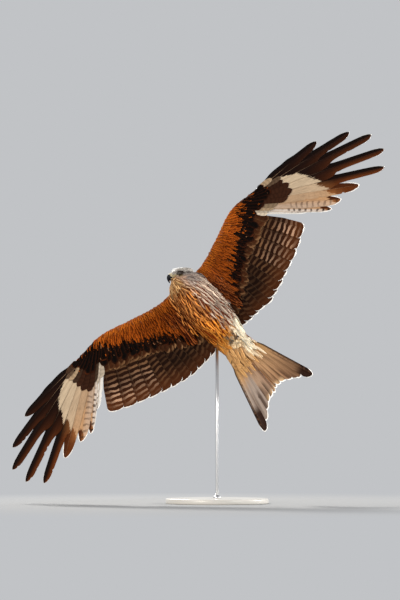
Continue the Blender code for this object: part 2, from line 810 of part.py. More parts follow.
def belly(x, y):
    """Height of the trunk's underside."""
    half_width, half_depth, height = follow(TRUNK, x)
    share = min(1.0, abs(y) / half_width)
    return height - half_depth * (1 - share**TRUNK_FULLNESS)**(1 / TRUNK_FULLNESS)


def build_leg(name, side, material):
    thigh_points = []
    thigh_radii = []
    for x, y, radius in THIGH:
        thigh_points.append(Vector((x, side * y, belly(x, y) + radius * 0.45)))
        thigh_radii.append(radius)
    start = thigh_points[0] + Vector((0.012, 0, 0.004))
    end = thigh_points[-1] + Vector((-0.010, -side * 0.002, 0.0))
    thigh_points = [start] + thigh_points + [end]
    thigh_radii = [0.009] + thigh_radii + [0.006]
    leg = tube(name, thigh_points, thigh_radii, 12, material)
    shin_points = []
    for x, y, radius in TARSUS:
        shin_points.append(Vector((x, side * y, belly(x, y) - radius - SHIN_GAP)))
    pieces = [tube("tarsus", shin_points, [radius for _, _, radius in TARSUS], 8, material)]
    foot = shin_points[-1]
    for angle in TOE_ANGLES:
        pieces.append(build_toe(foot, side, math.radians(angle), material))
    fuse(leg, pieces, "MANIFOLD")
    cut(leg, trunk("trunk", *TORSO_SPAN, TORSO_RINGS, material, GAP), "MANIFOLD")
    return leg


def build_toe(foot, side, spread, material):
    """One toe, curled under with its claw; the hind toe curls the other way."""
    outwards = Vector((-math.cos(spread), math.sin(spread) * side, 0))
    points = []
    radii = []
    centre = foot + outwards * (TOE_CURL * 0.63) + Vector((0, 0, -TOE_CURL * 0.55))
    for i in range(TOE_STEPS):
        t = i / (TOE_STEPS - 1)
        turn = math.radians(between(*TOE_TURN, t))
        reach = TOE_CURL * (1 - 0.35 * t)
        offset = outwards * (math.sin(turn) * reach) + Vector((0, 0, math.cos(turn) * reach))
        points.append(centre + offset)
        claw = 0.0005 + TOE_RADIUS * 2.2 * (1 - t)
        radii.append(min(TOE_RADIUS * (1 - 0.25 * t), claw))
    return tube("toe", points, radii, 6, material)


def bird_frame():
    """From the bird's own frame to its pose over the stand."""
    forward = Vector((math.cos(HEADING), 0, math.sin(HEADING)))
    left = Vector((math.sin(HEADING), 0, -math.cos(HEADING)))
    back = forward.cross(left)
    axes = Matrix((forward, left, back)).transposed().to_4x4()
    lean = Matrix.Rotation(LEAN_BACK, 4, "X")
    return Matrix.Translation(BODY_PLACE) @ lean @ axes @ Matrix.Rotation(ROLL, 4, "X")


def round_post(name, radius, bottom, top, bevel, material):
    """A round upright post or disc with its edges eased."""
    rings = []
    sides = 44 if radius > 0.05 else 14
    levels = ((bottom, bevel), (bottom + bevel, 0.0), (top - bevel, 0.0), (top, bevel))
    for height, inset in levels:
        across = Vector((radius - inset, 0, 0))
        deep = Vector((0, radius - inset, 0))
        rings.append(ellipse(Vector((0, 0, height)), across, deep, sides))
    return loft(name, rings, material)


def build_stand(torso, lacquer, steel):
    """The base, and the rod that stands on it and ends in a socket in the flank."""
    round_post("stand_base", BASE_RADIUS, 0.0, BASE_THICK, 0.0015, lacquer)
    round_post("stand_rod", ROD_RADIUS, BASE_THICK + GAP, ROD_TOP, 0.0004, steel)
    socket_start = ROD_TOP - SOCKET_REACH
    socket = round_post("socket", ROD_RADIUS + GAP, socket_start, ROD_TOP + GAP, 0.0002, steel)
    cut(torso, socket, "MANIFOLD")


def main():
    clear_scene()
    feather = finish_of("flank_feathers", (0.36, 0.15, 0.05), 0.85)
    dark = finish_of("flight_feathers", (0.10, 0.06, 0.04), 0.75)
    rufous = finish_of("tail_feathers", (0.45, 0.24, 0.12), 0.8)
    pale = finish_of("head_feathers", (0.62, 0.58, 0.52), 0.85)
    horn = finish_of("bill_horn", (0.06, 0.05, 0.05), 0.35)
    yellow = finish_of("leg_scales", (0.75, 0.55, 0.08), 0.5)
    amber = finish_of("eye_glass", (0.55, 0.42, 0.15), 0.08)
    lacquer = finish_of("stand_lacquer", (0.78, 0.77, 0.74), 0.5)
    steel = finish_of("stand_steel", (0.6, 0.6, 0.6), 0.3, 1.0)

    torso = trunk("torso", *TORSO_SPAN, TORSO_RINGS, feather)
    neck = trunk("neck", TORSO_SPAN[1] + GAP, NECK_END, NECK_RINGS, feather)
    cut(neck, head_loft("head_room", pale, GAP))
    cut(neck, bill_loft("bill_room", LOWER_BILL, pale, GAP), "MANIFOLD")
    cut(neck, bill_loft("bill_room", UPPER_BILL, pale, GAP), "MANIFOLD")
    head = build_head(pale)
    parts = [torso, neck, head]
    parts.append(pierce_nostrils(bill_loft("beak_upper", UPPER_BILL, horn), horn))
    parts.append(bill_loft("beak_lower", LOWER_BILL, horn))
    parts.append(build_eye("eye_left", 1, amber))
    parts.append(build_eye("eye_right", -1, amber))
    for side, name in ((1, "left"), (-1, "right")):
        parts.append(wing_node("wing_" + name + "_arm", side, dark, False))
        parts.append(wing_node("wing_" + name + "_hand", side, dark, True))
    parts.append(build_tail(rufous))
    parts.append(build_leg("leg_left", 1, yellow))
    parts.append(build_leg("leg_right", -1, yellow))

    pose = bpy.data.objects.new("kite_pose", None)
    bpy.context.scene.collection.objects.link(pose)
    pose.matrix_world = bird_frame()
    for part in parts:
        part.parent = pose
    bpy.context.view_layer.update()

    build_stand(torso, lacquer, steel)


main()
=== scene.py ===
import math

import bmesh
import bpy
import numpy as np
from mathutils import Matrix, Vector
from mathutils.bvhtree import BVHTree


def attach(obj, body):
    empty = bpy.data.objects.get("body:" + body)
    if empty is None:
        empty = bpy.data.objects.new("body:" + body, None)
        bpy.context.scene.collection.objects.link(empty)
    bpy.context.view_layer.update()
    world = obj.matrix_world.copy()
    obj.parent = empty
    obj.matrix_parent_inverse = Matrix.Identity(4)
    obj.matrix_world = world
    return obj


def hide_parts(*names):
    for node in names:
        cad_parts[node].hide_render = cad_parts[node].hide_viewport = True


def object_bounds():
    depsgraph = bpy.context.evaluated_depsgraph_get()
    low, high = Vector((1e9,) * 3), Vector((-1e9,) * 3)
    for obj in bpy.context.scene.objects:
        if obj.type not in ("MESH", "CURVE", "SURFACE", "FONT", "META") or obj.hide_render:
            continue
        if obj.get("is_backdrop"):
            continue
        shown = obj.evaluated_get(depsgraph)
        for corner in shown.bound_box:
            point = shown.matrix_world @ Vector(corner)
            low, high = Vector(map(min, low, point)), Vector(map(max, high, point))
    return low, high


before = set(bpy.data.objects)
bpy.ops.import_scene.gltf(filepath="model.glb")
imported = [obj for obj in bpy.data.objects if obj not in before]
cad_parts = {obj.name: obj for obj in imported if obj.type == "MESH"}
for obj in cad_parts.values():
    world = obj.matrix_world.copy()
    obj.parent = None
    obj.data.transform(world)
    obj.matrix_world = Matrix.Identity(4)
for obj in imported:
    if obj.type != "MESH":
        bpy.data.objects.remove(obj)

lowest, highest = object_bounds()
cad_box = [list(lowest), list(highest)]


# The studio. A broad matt floor, painted pale, fades into an even pale surround, so that no
# edge shows. Two warm soft lights stand low in front, the stronger one at the left, and two
# narrow lights behind draw the bright rims of the feathers.
def paint(red, green, blue):
    """A paint as the eye reads it, from 0 to 255, in the linear values that shaders take."""
    share = np.array((red, green, blue)) / 255
    return np.where(share < 0.04045, share / 12.92, ((share + 0.055) / 1.055)**2.4)


class Value:
    """A number or a colour on its way through a material; sums with it add to the way."""

    def __init__(self, finish, socket):
        self.finish = finish
        self.socket = socket

    def __add__(self, other):
        return self.finish.sum("ADD", self, other)

    def __sub__(self, other):
        return self.finish.sum("SUBTRACT", self, other)

    def __mul__(self, other):
        return self.finish.sum("MULTIPLY", self, other)

    def __truediv__(self, other):
        return self.finish.sum("DIVIDE", self, other)

    def __abs__(self):
        return self.finish.sum("ABSOLUTE", self)


class Finish:
    """A material: its paints and grain, joined up to its shader."""

    def __init__(self, name, roughness, **sockets):
        self.material = bpy.data.materials.new(name)
        self.material.use_nodes = True
        self.tree = self.material.node_tree
        self.shader = self.tree.nodes["Principled BSDF"]
        self.set(Roughness=roughness, **sockets)

    def join(self, node, sockets):
        """Sockets, by name or by i and a number, are set to numbers or joined to values."""
        for name, value in sockets.items():
            key = int(name[1:]) if name[1:].isdigit() else name.replace("_", " ")
            if isinstance(value, Value):
                self.tree.links.new(value.socket, node.inputs[key])
            else:
                colour = isinstance(value, np.ndarray)
                node.inputs[key].default_value = (*value, 1.0) if colour else value

    def set(self, **sockets):
        self.join(self.shader, sockets)

    def node(self, kind, output=0, settings=(), **sockets):
        made = self.tree.nodes.new("ShaderNode" + kind)
        for name, value in dict(settings).items():
            setattr(made, name, value)
        self.join(made, sockets)
        return Value(self, made.outputs[output])

    def sum(self, operation, first, second=0.0, clamp=False):
        settings = {"operation": operation, "use_clamp": clamp}
        return self.node("Math", 0, settings, i0=first, i1=second)

    def ramp(self, value, low, high):
        """A soft step from 0 to 1 between two values."""
        settings = {"interpolation_type": "SMOOTHSTEP"}
        return self.node("MapRange", 0, settings, Value=value, From_Min=low, From_Max=high)

    def mix(self, share, first, second):
        """One colour turned into another by a share."""
        return self.node("Mix", 2, {"data_type": "RGBA"}, i0=share, i6=first, i7=second)

    def place(self):
        return self.node("NewGeometry", "Position")

    def noise(self, scale, detail, at=None):
        """Even grain over the surface, or over other places, finer with a larger scale."""
        return self.node("TexNoise", "Fac", Vector=at or self.place(), Scale=scale, Detail=detail)

    def fact(self, name, output="Fac"):
        """A number that the mesh carries at its points."""
        return self.node("Attribute", output, {"attribute_name": name})

    def colour(self, name):
        """A colour that the mesh carries at its points."""
        return self.fact(name, "Color")

    def on_vane(self):
        """Places on a feather: how far they lie from its root, and across it from 0 to 1."""
        split = self.node("SeparateXYZ", 0, i0=self.node("UVMap", 0, {"uv_map": "Vane"}))
        return split, Value(self, split.socket.node.outputs[1])

    def bump(self, strength, distance, height):
        self.set(Normal=self.node("Bump", Strength=strength, Distance=distance, Height=height))


def placed(name, data):
    """A mesh, lamp or camera set down in the scene."""
    made = bpy.data.objects.new(name, data)
    bpy.context.scene.collection.objects.link(made)
    return made


surround = paint(193, 195, 198)
floor_reach = 45.0
floor_near, floor_far = 0.35, 1.7

bpy.context.scene.view_settings.view_transform = "Standard"
world = bpy.data.worlds.new("studio")
world.use_nodes = True
world.node_tree.nodes["Background"].inputs["Color"].default_value = (*surround, 1.0)
bpy.context.scene.world = world

floor_mesh = bpy.data.meshes.new("floor")
corners = [(x * floor_reach, y * floor_reach, 0) for x, y in ((-1, -1), (1, -1), (1, 1), (-1, 1))]
floor_mesh.from_pydata(corners, [], [(0, 1, 2, 3)])
matt = Finish("floor_paint", 0.85, Specular_IOR_Level=0.15)
matt.set(Base_Color=matt.mix(matt.noise(35.0, 6.0), paint(150, 152, 154), paint(158, 159, 160)))
away = matt.node("VectorMath", "Value", {"operation": "LENGTH"}, i0=matt.place())
fade = matt.node("MixShader", i0=matt.ramp(away, floor_near, floor_far),
                 i1=Value(matt, matt.shader.outputs[0]), i2=matt.node("Emission", Color=surround))
matt.join(matt.tree.nodes["Material Output"], {"Surface": fade})
floor_mesh.materials.append(matt.material)
placed("floor", floor_mesh)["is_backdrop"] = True

# The picture's frame is 400 by 600, and one of its pixels is 3.4 mm at the bird.
frame_height = 600
pixel = 0.0034
view_distance = 10.0
view_tilt = math.radians(2.4)
view_aim = Vector((-0.058, 0.0, 0.691))
camera = bpy.data.cameras.new("camera")
camera.sensor_width = 36.0
camera.lens = camera.sensor_width * view_distance / (frame_height * pixel)
camera.clip_end = 200.0
tripod = placed("camera", camera)
view_line = Vector((0, math.cos(view_tilt), math.sin(view_tilt)))
tripod.location = view_aim - view_line * view_distance
tripod.rotation_euler = (math.pi / 2 + view_tilt, 0, 0)
bpy.context.scene.camera = tripod

bird_middle = Vector((0.0, 0.0, 0.75))
for name, place, size, power, colour in (
        ("key", (-3.6, -4.6, 1.5), 2.0, 215, (1.0, 0.92, 0.82)),
        ("fill", (4.2, -4.4, 1.2), 3.0, 92, (1.0, 0.98, 0.96)),
        ("rim_left", (-1.6, 3.2, 3.0), 0.7, 240, (1.0, 0.97, 0.92)),
        ("rim_right", (3.5, 0.8, 1.1), 0.8, 130, (1.0, 0.96, 0.90))):
    lamp = bpy.data.lights.new(name, "AREA")
    lamp.size = size
    lamp.energy = power
    lamp.color = colour
    lamp_stand = placed(name, lamp)
    lamp_stand.location = place
    lamp_stand.rotation_euler = (bird_middle - Vector(place)).to_track_quat("-Z", "Y").to_euler()


# The pose. The bird is made in its own frame, x ahead, y to its left and z out of its back,
# and turned into its bank over the stand as one, the way the mount was wired.
heading = math.radians(131.1)
lean_back = math.radians(2.4)
roll = math.radians(8.0)
body_place = Vector((-0.031, 0.0, 0.650))
ahead_axis = Vector((math.cos(heading), 0, math.sin(heading)))
left_axis = Vector((math.sin(heading), 0, -math.cos(heading)))
axes = Matrix((ahead_axis, left_axis, ahead_axis.cross(left_axis))).transposed().to_4x4()
pose = (Matrix.Translation(body_place) @ Matrix.Rotation(lean_back, 4, "X") @ axes
        @ Matrix.Rotation(roll, 4, "X"))


def follow(stations, at):
    """Sizes at places on the smooth curve through stations, each a place and its sizes."""
    table = np.asarray(stations, float)
    at = np.atleast_1d(np.asarray(at, float))
    last = len(table) - 1
    i = np.clip(np.searchsorted(table[:, 0], at) - 1, 0, last - 1)
    before, start, end, after = (table[np.clip(i + k, 0, last)] for k in (-1, 0, 1, 2))
    step = (end[:, :1] - start[:, :1])
    t = (at[:, None] - start[:, :1]) / step
    slope_in = (end - before) / (end[:, :1] - before[:, :1]) * step
    slope_out = (after - start) / (after[:, :1] - start[:, :1]) * step
    curve = ((2 * t**3 - 3 * t**2 + 1) * start + (t**3 - 2 * t**2 + t) * slope_in
             + (3 * t**2 - 2 * t**3) * end + (t**3 - t**2) * slope_out)
    return curve[:, 1:]


def ease(low, high, value):
    """A soft step from 0 at one value to 1 at the other."""
    t = np.clip((np.asarray(value, float) - low) / (high - low), 0, 1)
    return t * t * (3 - 2 * t)


def between(first, second, share):
    """Sizes turned from one into the other by shares."""
    return first + (second - first) * np.asarray(share, float)


def blend(first, second, share):
    """Colours turned from one into the other by shares."""
    return between(first, second, np.asarray(share, float)[..., None])


# The skin. Trunk, neck, head, the flesh of the wings and tail and the thighs are one hide
# drawn over a form, and every feather is set in it. It lies under the coat by its depth.
trunk_shape = (
    (-0.150, 0.050, 0.0175, 0.015),
    (-0.120, 0.056, 0.027, 0.011),
    (-0.085, 0.063, 0.038, 0.005),
    (-0.040, 0.069, 0.048, -0.002),
    (0.005, 0.071, 0.055, -0.007),
    (0.050, 0.070, 0.057, -0.008),
    (0.090, 0.065, 0.053, -0.006),
    (0.115, 0.060, 0.048, -0.003),
    (0.135, 0.052, 0.042, -0.001),
    (0.150, 0.042, 0.036, 0.000),
    (0.160, 0.030, 0.027, 0.001),
)
trunk_fullness = 2.15
head_middle = Vector((0.162, 0.013, 0.004))
head_turn = math.radians(60.5)
head_shape = (
    (-0.046, -0.001, -0.006, 0.004),
    (-0.043, 0.008, -0.015, 0.012),
    (-0.035, 0.0125, -0.0225, 0.0185),
    (-0.022, 0.0168, -0.027, 0.0238),
    (-0.008, 0.0202, -0.0285, 0.0252),
    (0.005, 0.0214, -0.0275, 0.0238),
    (0.014, 0.0208, -0.025, 0.0198),
    (0.021, 0.0184, -0.0222, 0.0145),
    (0.026, 0.0154, -0.0195, 0.0105),
)
head_fullness = 2.2
brow_line = (
    (-0.0085, 0.0186, 0.0085, 0.0018),
    (-0.0010, 0.0200, 0.0098, 0.0026),
    (0.0085, 0.0178, 0.0090, 0.0025),
    (0.0165, 0.0128, 0.0062, 0.0016),
)
thigh_shape = ((0.012, 0.040, 0.017), (0.045, 0.034, 0.016), (0.078, 0.024, 0.010))
thigh_reach, thigh_middle, thigh_round = 0.088, 0.035, 0.056
thigh_sunk = 0.45
tail_root = (-0.150, 0.0, 0.015)
tail_twist, tail_pitch, tail_yaw = (math.radians(a) for a in (20.0, 8.0, -5.0))
tail_flesh = (
    (0.0003, 0.048, 0.0165),
    (0.012, 0.056, 0.0115),
    (0.030, 0.060, 0.0075),
    (0.046, 0.058, 0.0050),
)
tail_flesh_fullness = 2.6
flesh_nose = 0.012
body_depth = 0.0032
head_depth = wing_depth = 0.0016
tail_depth = 0.0008
skin_voxel, head_voxel = 0.0030, 0.0012
around_flesh, around_tail, around_thigh, around_brow = 40, 32, 20, 14

forward = Vector((math.cos(head_turn), -math.sin(head_turn), 0))
cheek = Vector((0, 0, -1))
head_axes = Matrix((forward, cheek, forward.cross(cheek))).transposed().to_4x4()
head_frame = Matrix.Rotation(-roll, 4, "X") @ Matrix.Translation(head_middle) @ head_axes
tail_frame = (Matrix.Translation(tail_root) @ Matrix.Rotation(tail_twist, 4, "X")
              @ Matrix.Rotation(tail_pitch, 4, "Y") @ Matrix.Rotation(tail_yaw, 4, "Z"))


def moved(matrix, points):
    """Points, in rows of any shape, carried by a matrix."""
    table = np.array(matrix)
    return np.asarray(points) @ table[:3, :3].T + table[:3, 3]


def ovals(middles, across, upwards, sides, fullness=2.0):
    """Rings round middles; fullness above 2 squares them up a little."""
    angle = 2 * np.pi * (np.arange(sides) + 0.5) / sides
    power = 2.0 / fullness
    c = np.sign(np.cos(angle)) * np.abs(np.cos(angle))**power
    s = np.sign(np.sin(angle)) * np.abs(np.sin(angle))**power
    return (middles[:, None] + across[:, None] * c[None, :, None]
            + upwards[:, None] * s[None, :, None])


def slices(at, height, half_width, half_depth, sides, fullness):
    """Upright rings at places along the line ahead."""
    zero = np.zeros_like(at)
    return ovals(np.stack([at, zero, height], axis=1), np.stack([zero, half_width, zero], axis=1),
                 np.stack([zero, zero, half_depth], axis=1), sides, fullness)


def unit(rows):
    return rows / np.linalg.norm(rows, axis=1)[:, None]


def tube_rings(points, radii, sides):
    """Rings along a bent tube."""
    points = np.asarray(points, float)
    along = unit(np.gradient(points, axis=0))
    across = unit(np.cross(along, (0.0, 0.13, 1.0)))
    radii = np.asarray(radii, float)[:, None]
    return ovals(points, across * radii, np.cross(across, along) * radii, sides)


def numbered(rows):
    """Rows with their own number as their place."""
    return [(i, *row) for i, row in enumerate(rows)]


def shell(name, rings):
    """A closed mesh over rings of points, with a fan at each end."""
    count, sides = rings.shape[:2]
    points = np.concatenate([rings.reshape(-1, 3), [rings[0].mean(axis=0), rings[-1].mean(axis=0)]])
    faces = []
    for k in range(0, (count - 1) * sides, sides):
        for j in range(sides):
            after = (j + 1) % sides
            faces.append((k + j, k + after, k + after + sides, k + j + sides))
    last = (count - 1) * sides
    for j in range(sides):
        after = (j + 1) % sides
        faces.append((after, j, count * sides))
        faces.append((last + j, last + after, count * sides + 1))
    mesh = bpy.data.meshes.new(name)
    mesh.from_pydata(points.tolist(), [], faces)
    shape = bmesh.new()
    shape.from_mesh(mesh)
    bmesh.ops.recalc_face_normals(shape, faces=shape.faces)
    shape.to_mesh(mesh)
    shape.free()
    return mesh


def joined(name, meshes):
    """Several shells as one mesh."""
    shape = bmesh.new()
    for mesh in meshes:
        shape.from_mesh(mesh)
    result = bpy.data.meshes.new(name)
    shape.to_mesh(result)
    shape.free()
    return result


def settle(hide):
    """Works a hide's modifiers out and leaves the result as its mesh."""
    bpy.context.view_layer.update()
    hide.data = bpy.data.meshes.new_from_object(
        hide.evaluated_get(bpy.context.evaluated_depsgraph_get()))
    hide.modifiers.clear()


def one_hide(name, meshes, voxel, smoothing):
    """Shells melted into one closed skin."""
    hide = placed(name, joined(name, meshes))
    melt = hide.modifiers.new("melt", "REMESH")
    melt.mode = "VOXEL"
    melt.voxel_size = voxel
    relax = hide.modifiers.new("relax", "SMOOTH")
    relax.iterations = smoothing
    relax.factor = 0.5
    settle(hide)
    return hide


def belly(x, y):
    """Height of the trunk's underside."""
    half_width, half_depth, height = follow(trunk_shape, x).T
    share = np.minimum(1.0, np.abs(y) / half_width)
    return height - half_depth * (1 - share**trunk_fullness)**(1 / trunk_fullness)


# The wing's own surface: a place x ahead and y out along the flat wing, and n off it, is
# raised along the arm, flatter at the wrist and bent up again towards the tips.
shoulder = (0.105, 0.050)
shoulder_height = 0.030
wrist = (0.180, 0.322)
wing_lean = math.radians(3.4)
hand_sweep = math.radians(1.5)
leading_root, leading_gain = 0.138, 0.064
camber = 0.016
full_chord = 0.260
wing_core = (
    (0.040, 0.138, 0.004, 0.030),
    (0.075, 0.134, 0.002, 0.027),
    (0.105, 0.137, 0.006, 0.025),
    (0.145, 0.146, 0.022, 0.022),
    (0.185, 0.159, 0.046, 0.020),
    (0.225, 0.171, 0.072, 0.0185),
    (0.265, 0.185, 0.099, 0.017),
    (0.305, 0.197, 0.124, 0.016),
    (0.335, 0.201, 0.138, 0.0155),
    (0.365, 0.200, 0.150, 0.014),
    (0.400, 0.197, 0.160, 0.012),
    (0.435, 0.194, 0.168, 0.010),
    (0.460, 0.190, 0.174, 0.0075),
)
core_section = ((0.0, 0.07, 0.25, 0.5, 0.75, 1.0), (0.0, 0.62, 1.0, 0.88, 0.66, 0.46))
least_core = 0.0004
span_table = np.linspace(0.0, 1.05, 421)


def wing_slope(y):
    return np.radians(12.0 - 6.0 * ease(0.26, 0.44, y) + 10.0 * ease(0.50, 0.90, y))


def along_span(rate, start):
    """A measure summed up along the span, given what it is at the shoulder."""
    slopes = wing_slope((span_table[1:] + span_table[:-1]) / 2)
    table = np.concatenate([[0], np.cumsum(rate(slopes) * np.diff(span_table))])
    return table + start - np.interp(shoulder[1], span_table, table)


across_table = along_span(np.cos, shoulder[1])
height_table = along_span(np.sin, shoulder_height)


def leading_edge(y):
    return leading_root + leading_gain * ease(0.08, 0.33, y)


def swung(x, y, pivot, angle):
    """Flat places turned about a pivot."""
    dx = x - pivot[0]
    dy = y - pivot[1]
    return (pivot[0] + dx * np.cos(angle) + dy * np.sin(angle),
            pivot[1] + dy * np.cos(angle) - dx * np.sin(angle))


def wing_surface(side, x, y, n):
    """Points of one wing for flat places and heights off the surface."""
    x, y, n = np.broadcast_arrays(np.asarray(x, float), np.asarray(y, float), np.asarray(n, float))
    x, y = swung(x, y, wrist, -side * hand_sweep * ease(wrist[1] - 0.01, wrist[1] + 0.08, y))
    chord = np.maximum(0.0, (leading_edge(y) - x) / full_chord)
    bow = camber * (1 - 0.7 * ease(0.30, 0.60, y)) * (1 - ((chord - 0.35) / 0.65)**2)
    slope = wing_slope(y)
    out = np.interp(y, span_table, across_table) - np.sin(slope) * (bow + n)
    height = np.interp(y, span_table, height_table) + np.cos(slope) * (bow + n)
    x, out = swung(x, out, shoulder, side * wing_lean)
    return np.stack([x, side * out, height], axis=-1)


def flat_place(side, points):
    """The flat place under points of one wing, close enough for laying out feathers."""
    x, out = swung(points[:, 0], side * points[:, 1], shoulder, -side * wing_lean)
    return x, np.interp(out, across_table, span_table)


def wing_rings(side):
    spans = np.linspace(wing_core[0][0], wing_core[-1][0], 44)
    along = 0.5 * (1 - np.cos(np.linspace(0, np.pi, 13)))
    rings = []
    for y, (leading, rear, thick) in zip(spans, follow(wing_core, spans)):
        x = (leading - wing_depth) + (rear + wing_depth - leading) * along
        half = np.maximum(thick / 2 * np.interp(along, *core_section) - wing_depth, least_core)
        upper = wing_surface(side, x, y, half)
        lower = wing_surface(side, x, y, -half)
        rings.append(np.concatenate([upper, lower[::-1]]))
    return np.array(rings)


at = np.linspace(trunk_shape[0][0], trunk_shape[-1][0], 60)
half_width, half_depth, height = follow(trunk_shape, at).T
flesh = [shell("trunk", slices(at, height, half_width - body_depth, half_depth - body_depth,
                               around_flesh, trunk_fullness))]
back, half_width, half_thick = np.array(tail_flesh).T
rings = slices(-back, np.zeros_like(back), half_width - tail_depth, half_thick - tail_depth,
               around_tail, tail_flesh_fullness)
rings[0, :, 0] += flesh_nose
flesh.append(shell("tail_flesh", moved(tail_frame, rings)))
for side in (1, -1):
    flesh.append(shell("wing_flesh", wing_rings(side)))
    at = np.linspace(0.0, thigh_reach, 12)
    y, radius = follow(thigh_shape, at).T
    ends = np.clip(1 - ((at - thigh_middle) / thigh_round)**4, 0.05, 1)
    radius = (radius - body_depth) * np.sqrt(ends)
    height = belly(-at, y) + radius * thigh_sunk + body_depth
    points = np.stack([-at, side * y, height], axis=1)
    flesh.append(shell("thigh", tube_rings(points, radius, around_thigh)))
skin = one_hide("skin", flesh, skin_voxel, 3)

at = between(head_shape[0][0], head_shape[-1][0], 0.5 * (1 - np.cos(np.linspace(0, np.pi, 36))))
top, bottom, half_width = follow(head_shape, at).T
rings = slices(at, (top + bottom) / 2, half_width - head_depth, (top - bottom) / 2 - head_depth,
               around_flesh, head_fullness)
skull = [shell("skull", moved(head_frame, rings))]
for side in (1, -1):
    line = numbered((x, side * y, z) for x, y, z, _ in brow_line)
    at = np.linspace(0, len(brow_line) - 1, 14)
    radii = np.interp(at, range(len(brow_line)), [row[3] for row in brow_line])
    skull.append(shell("brow", moved(head_frame, tube_rings(follow(line, at), radii, around_brow))))
head_skin = one_hide("head_skin", skull, head_voxel, 4)
union = skin.modifiers.new("union", "BOOLEAN")
union.operation = "UNION"
union.solver = "MANIFOLD"
union.object = head_skin
settle(skin)
bpy.data.objects.remove(head_skin)
whole = skin.data


def mesh_points(mesh, what="co"):
    points = np.zeros(len(mesh.vertices) * 3)
    mesh.vertices.foreach_get(what, points)
    return points.reshape(-1, 3)


skin_points = mesh_points(whole)
skin_tree = BVHTree.FromPolygons(skin_points.tolist(), [list(f.vertices) for f in whole.polygons])


# The coat. Every feather is a thin closed vane, set by its root in the skin and lying back
# over the next ones. Body feathers are stuck on row by row, a few thousand of them, and all
# of one region are one piece.
def point_fact(mesh, name, values):
    """A number or a colour at each point of a mesh, for its material to read."""
    values = np.asarray(values, float)
    if values.ndim == 2:
        made = mesh.attributes.new(name, "FLOAT_COLOR", "POINT")
        values = np.concatenate([values, np.ones((len(values), 1))], axis=1)
        made.data.foreach_set("color", values.astype(np.float32).ravel())
    else:
        made = mesh.attributes.new(name, "FLOAT", "POINT")
        made.data.foreach_set("value", values.astype(np.float32))


def set_piece(name, mesh, finish, slot, *nodes, by=pose):
    """Puts one piece in its place on the mount, by the pose or as it stands."""
    mesh.transform(by)
    mesh.shade_smooth()
    mesh.materials.append(finish.material)
    piece = placed(name, mesh)
    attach(piece, "root")
    if nodes:
        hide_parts(*nodes)


as_it_stands = Matrix()
left_and_right = ((1, "left"), (-1, "right"))


class Coat:
    """Feathers gathered as arrays, to be made into one piece."""

    def __init__(self):
        self.points = []
        self.quads = []
        self.vane_map = []
        self.bake_map = []
        self.facts = {}
        self.count = 0

    def add(self, rings, vane_map, bake_map, facts):
        """Adds feathers as rings: feather, station, place round it; maps are per corner."""
        feathers, stations, around = rings.shape[:3]
        quads, corners = ring_quads(stations, around)
        if signed_volume(rings[0].reshape(-1, 3), quads) < 0:
            quads = quads[:, ::-1]
            corners = corners[:, ::-1]
        starts = self.count + np.arange(feathers) * stations * around
        self.quads.append((quads[None] + starts[:, None, None]).reshape(-1, 4))
        self.points.append(rings.reshape(-1, 3))
        station, place = np.divmod(corners, around + 1)
        self.vane_map.append(vane_map[:, station, place].reshape(-1, 2))
        self.bake_map.append(bake_map[:, station, place].reshape(-1, 2))
        for name, value in facts.items():
            colour = value.shape[3:]
            full = np.broadcast_to(value, (feathers, stations, around) + colour)
            self.facts.setdefault(name, []).append(full.reshape((-1,) + colour))
        self.count += feathers * stations * around

    def make(self, name, finish, slot, *nodes):
        mesh = bpy.data.meshes.new(name)
        points = moved(pose, np.concatenate(self.points))
        mesh.from_pydata(points.tolist(), [], np.concatenate(self.quads).tolist())
        for title, maps in (("OFBake", self.bake_map), ("Vane", self.vane_map)):
            layer = mesh.uv_layers.new(name=title)
            layer.data.foreach_set("uv", np.concatenate(maps).astype(np.float32).ravel())
        for title, values in self.facts.items():
            point_fact(mesh, title, np.concatenate(values))
        set_piece(name, mesh, finish, slot, *nodes, by=as_it_stands)


def ring_quads(stations, around):
    """Quads over rings, and their corners' places in a map that runs once round each ring."""
    quads = []
    corners = []
    wide = around + 1
    for k in range(stations - 1):
        for j in range(around):
            a = k * around + j
            b = k * around + (j + 1) % around
            c = k * wide + j
            quads.append((a, b, b + around, a + around))
            corners.append((c, c + 1, c + 1 + wide, c + wide))
    for k in (0, stations - 1):
        for j in range(around // 2 - 1):
            cap = (j, j + 1, around - 2 - j, around - 1 - j)
            if k == 0:
                cap = (j + 1, j, around - 1 - j, around - 2 - j)
            quads.append([k * around + place for place in cap])
            corners.append([k * wide + place for place in cap])
    return np.array(quads), np.array(corners)


def signed_volume(points, quads):
    p = points - points.mean(axis=0)
    a, b, c, d = (p[quads[:, i]] for i in range(4))
    return float((a * np.cross(b, c)).sum() + (a * np.cross(c, d)).sum())


def head_place(points):
    return moved(head_frame.inverted(), points)


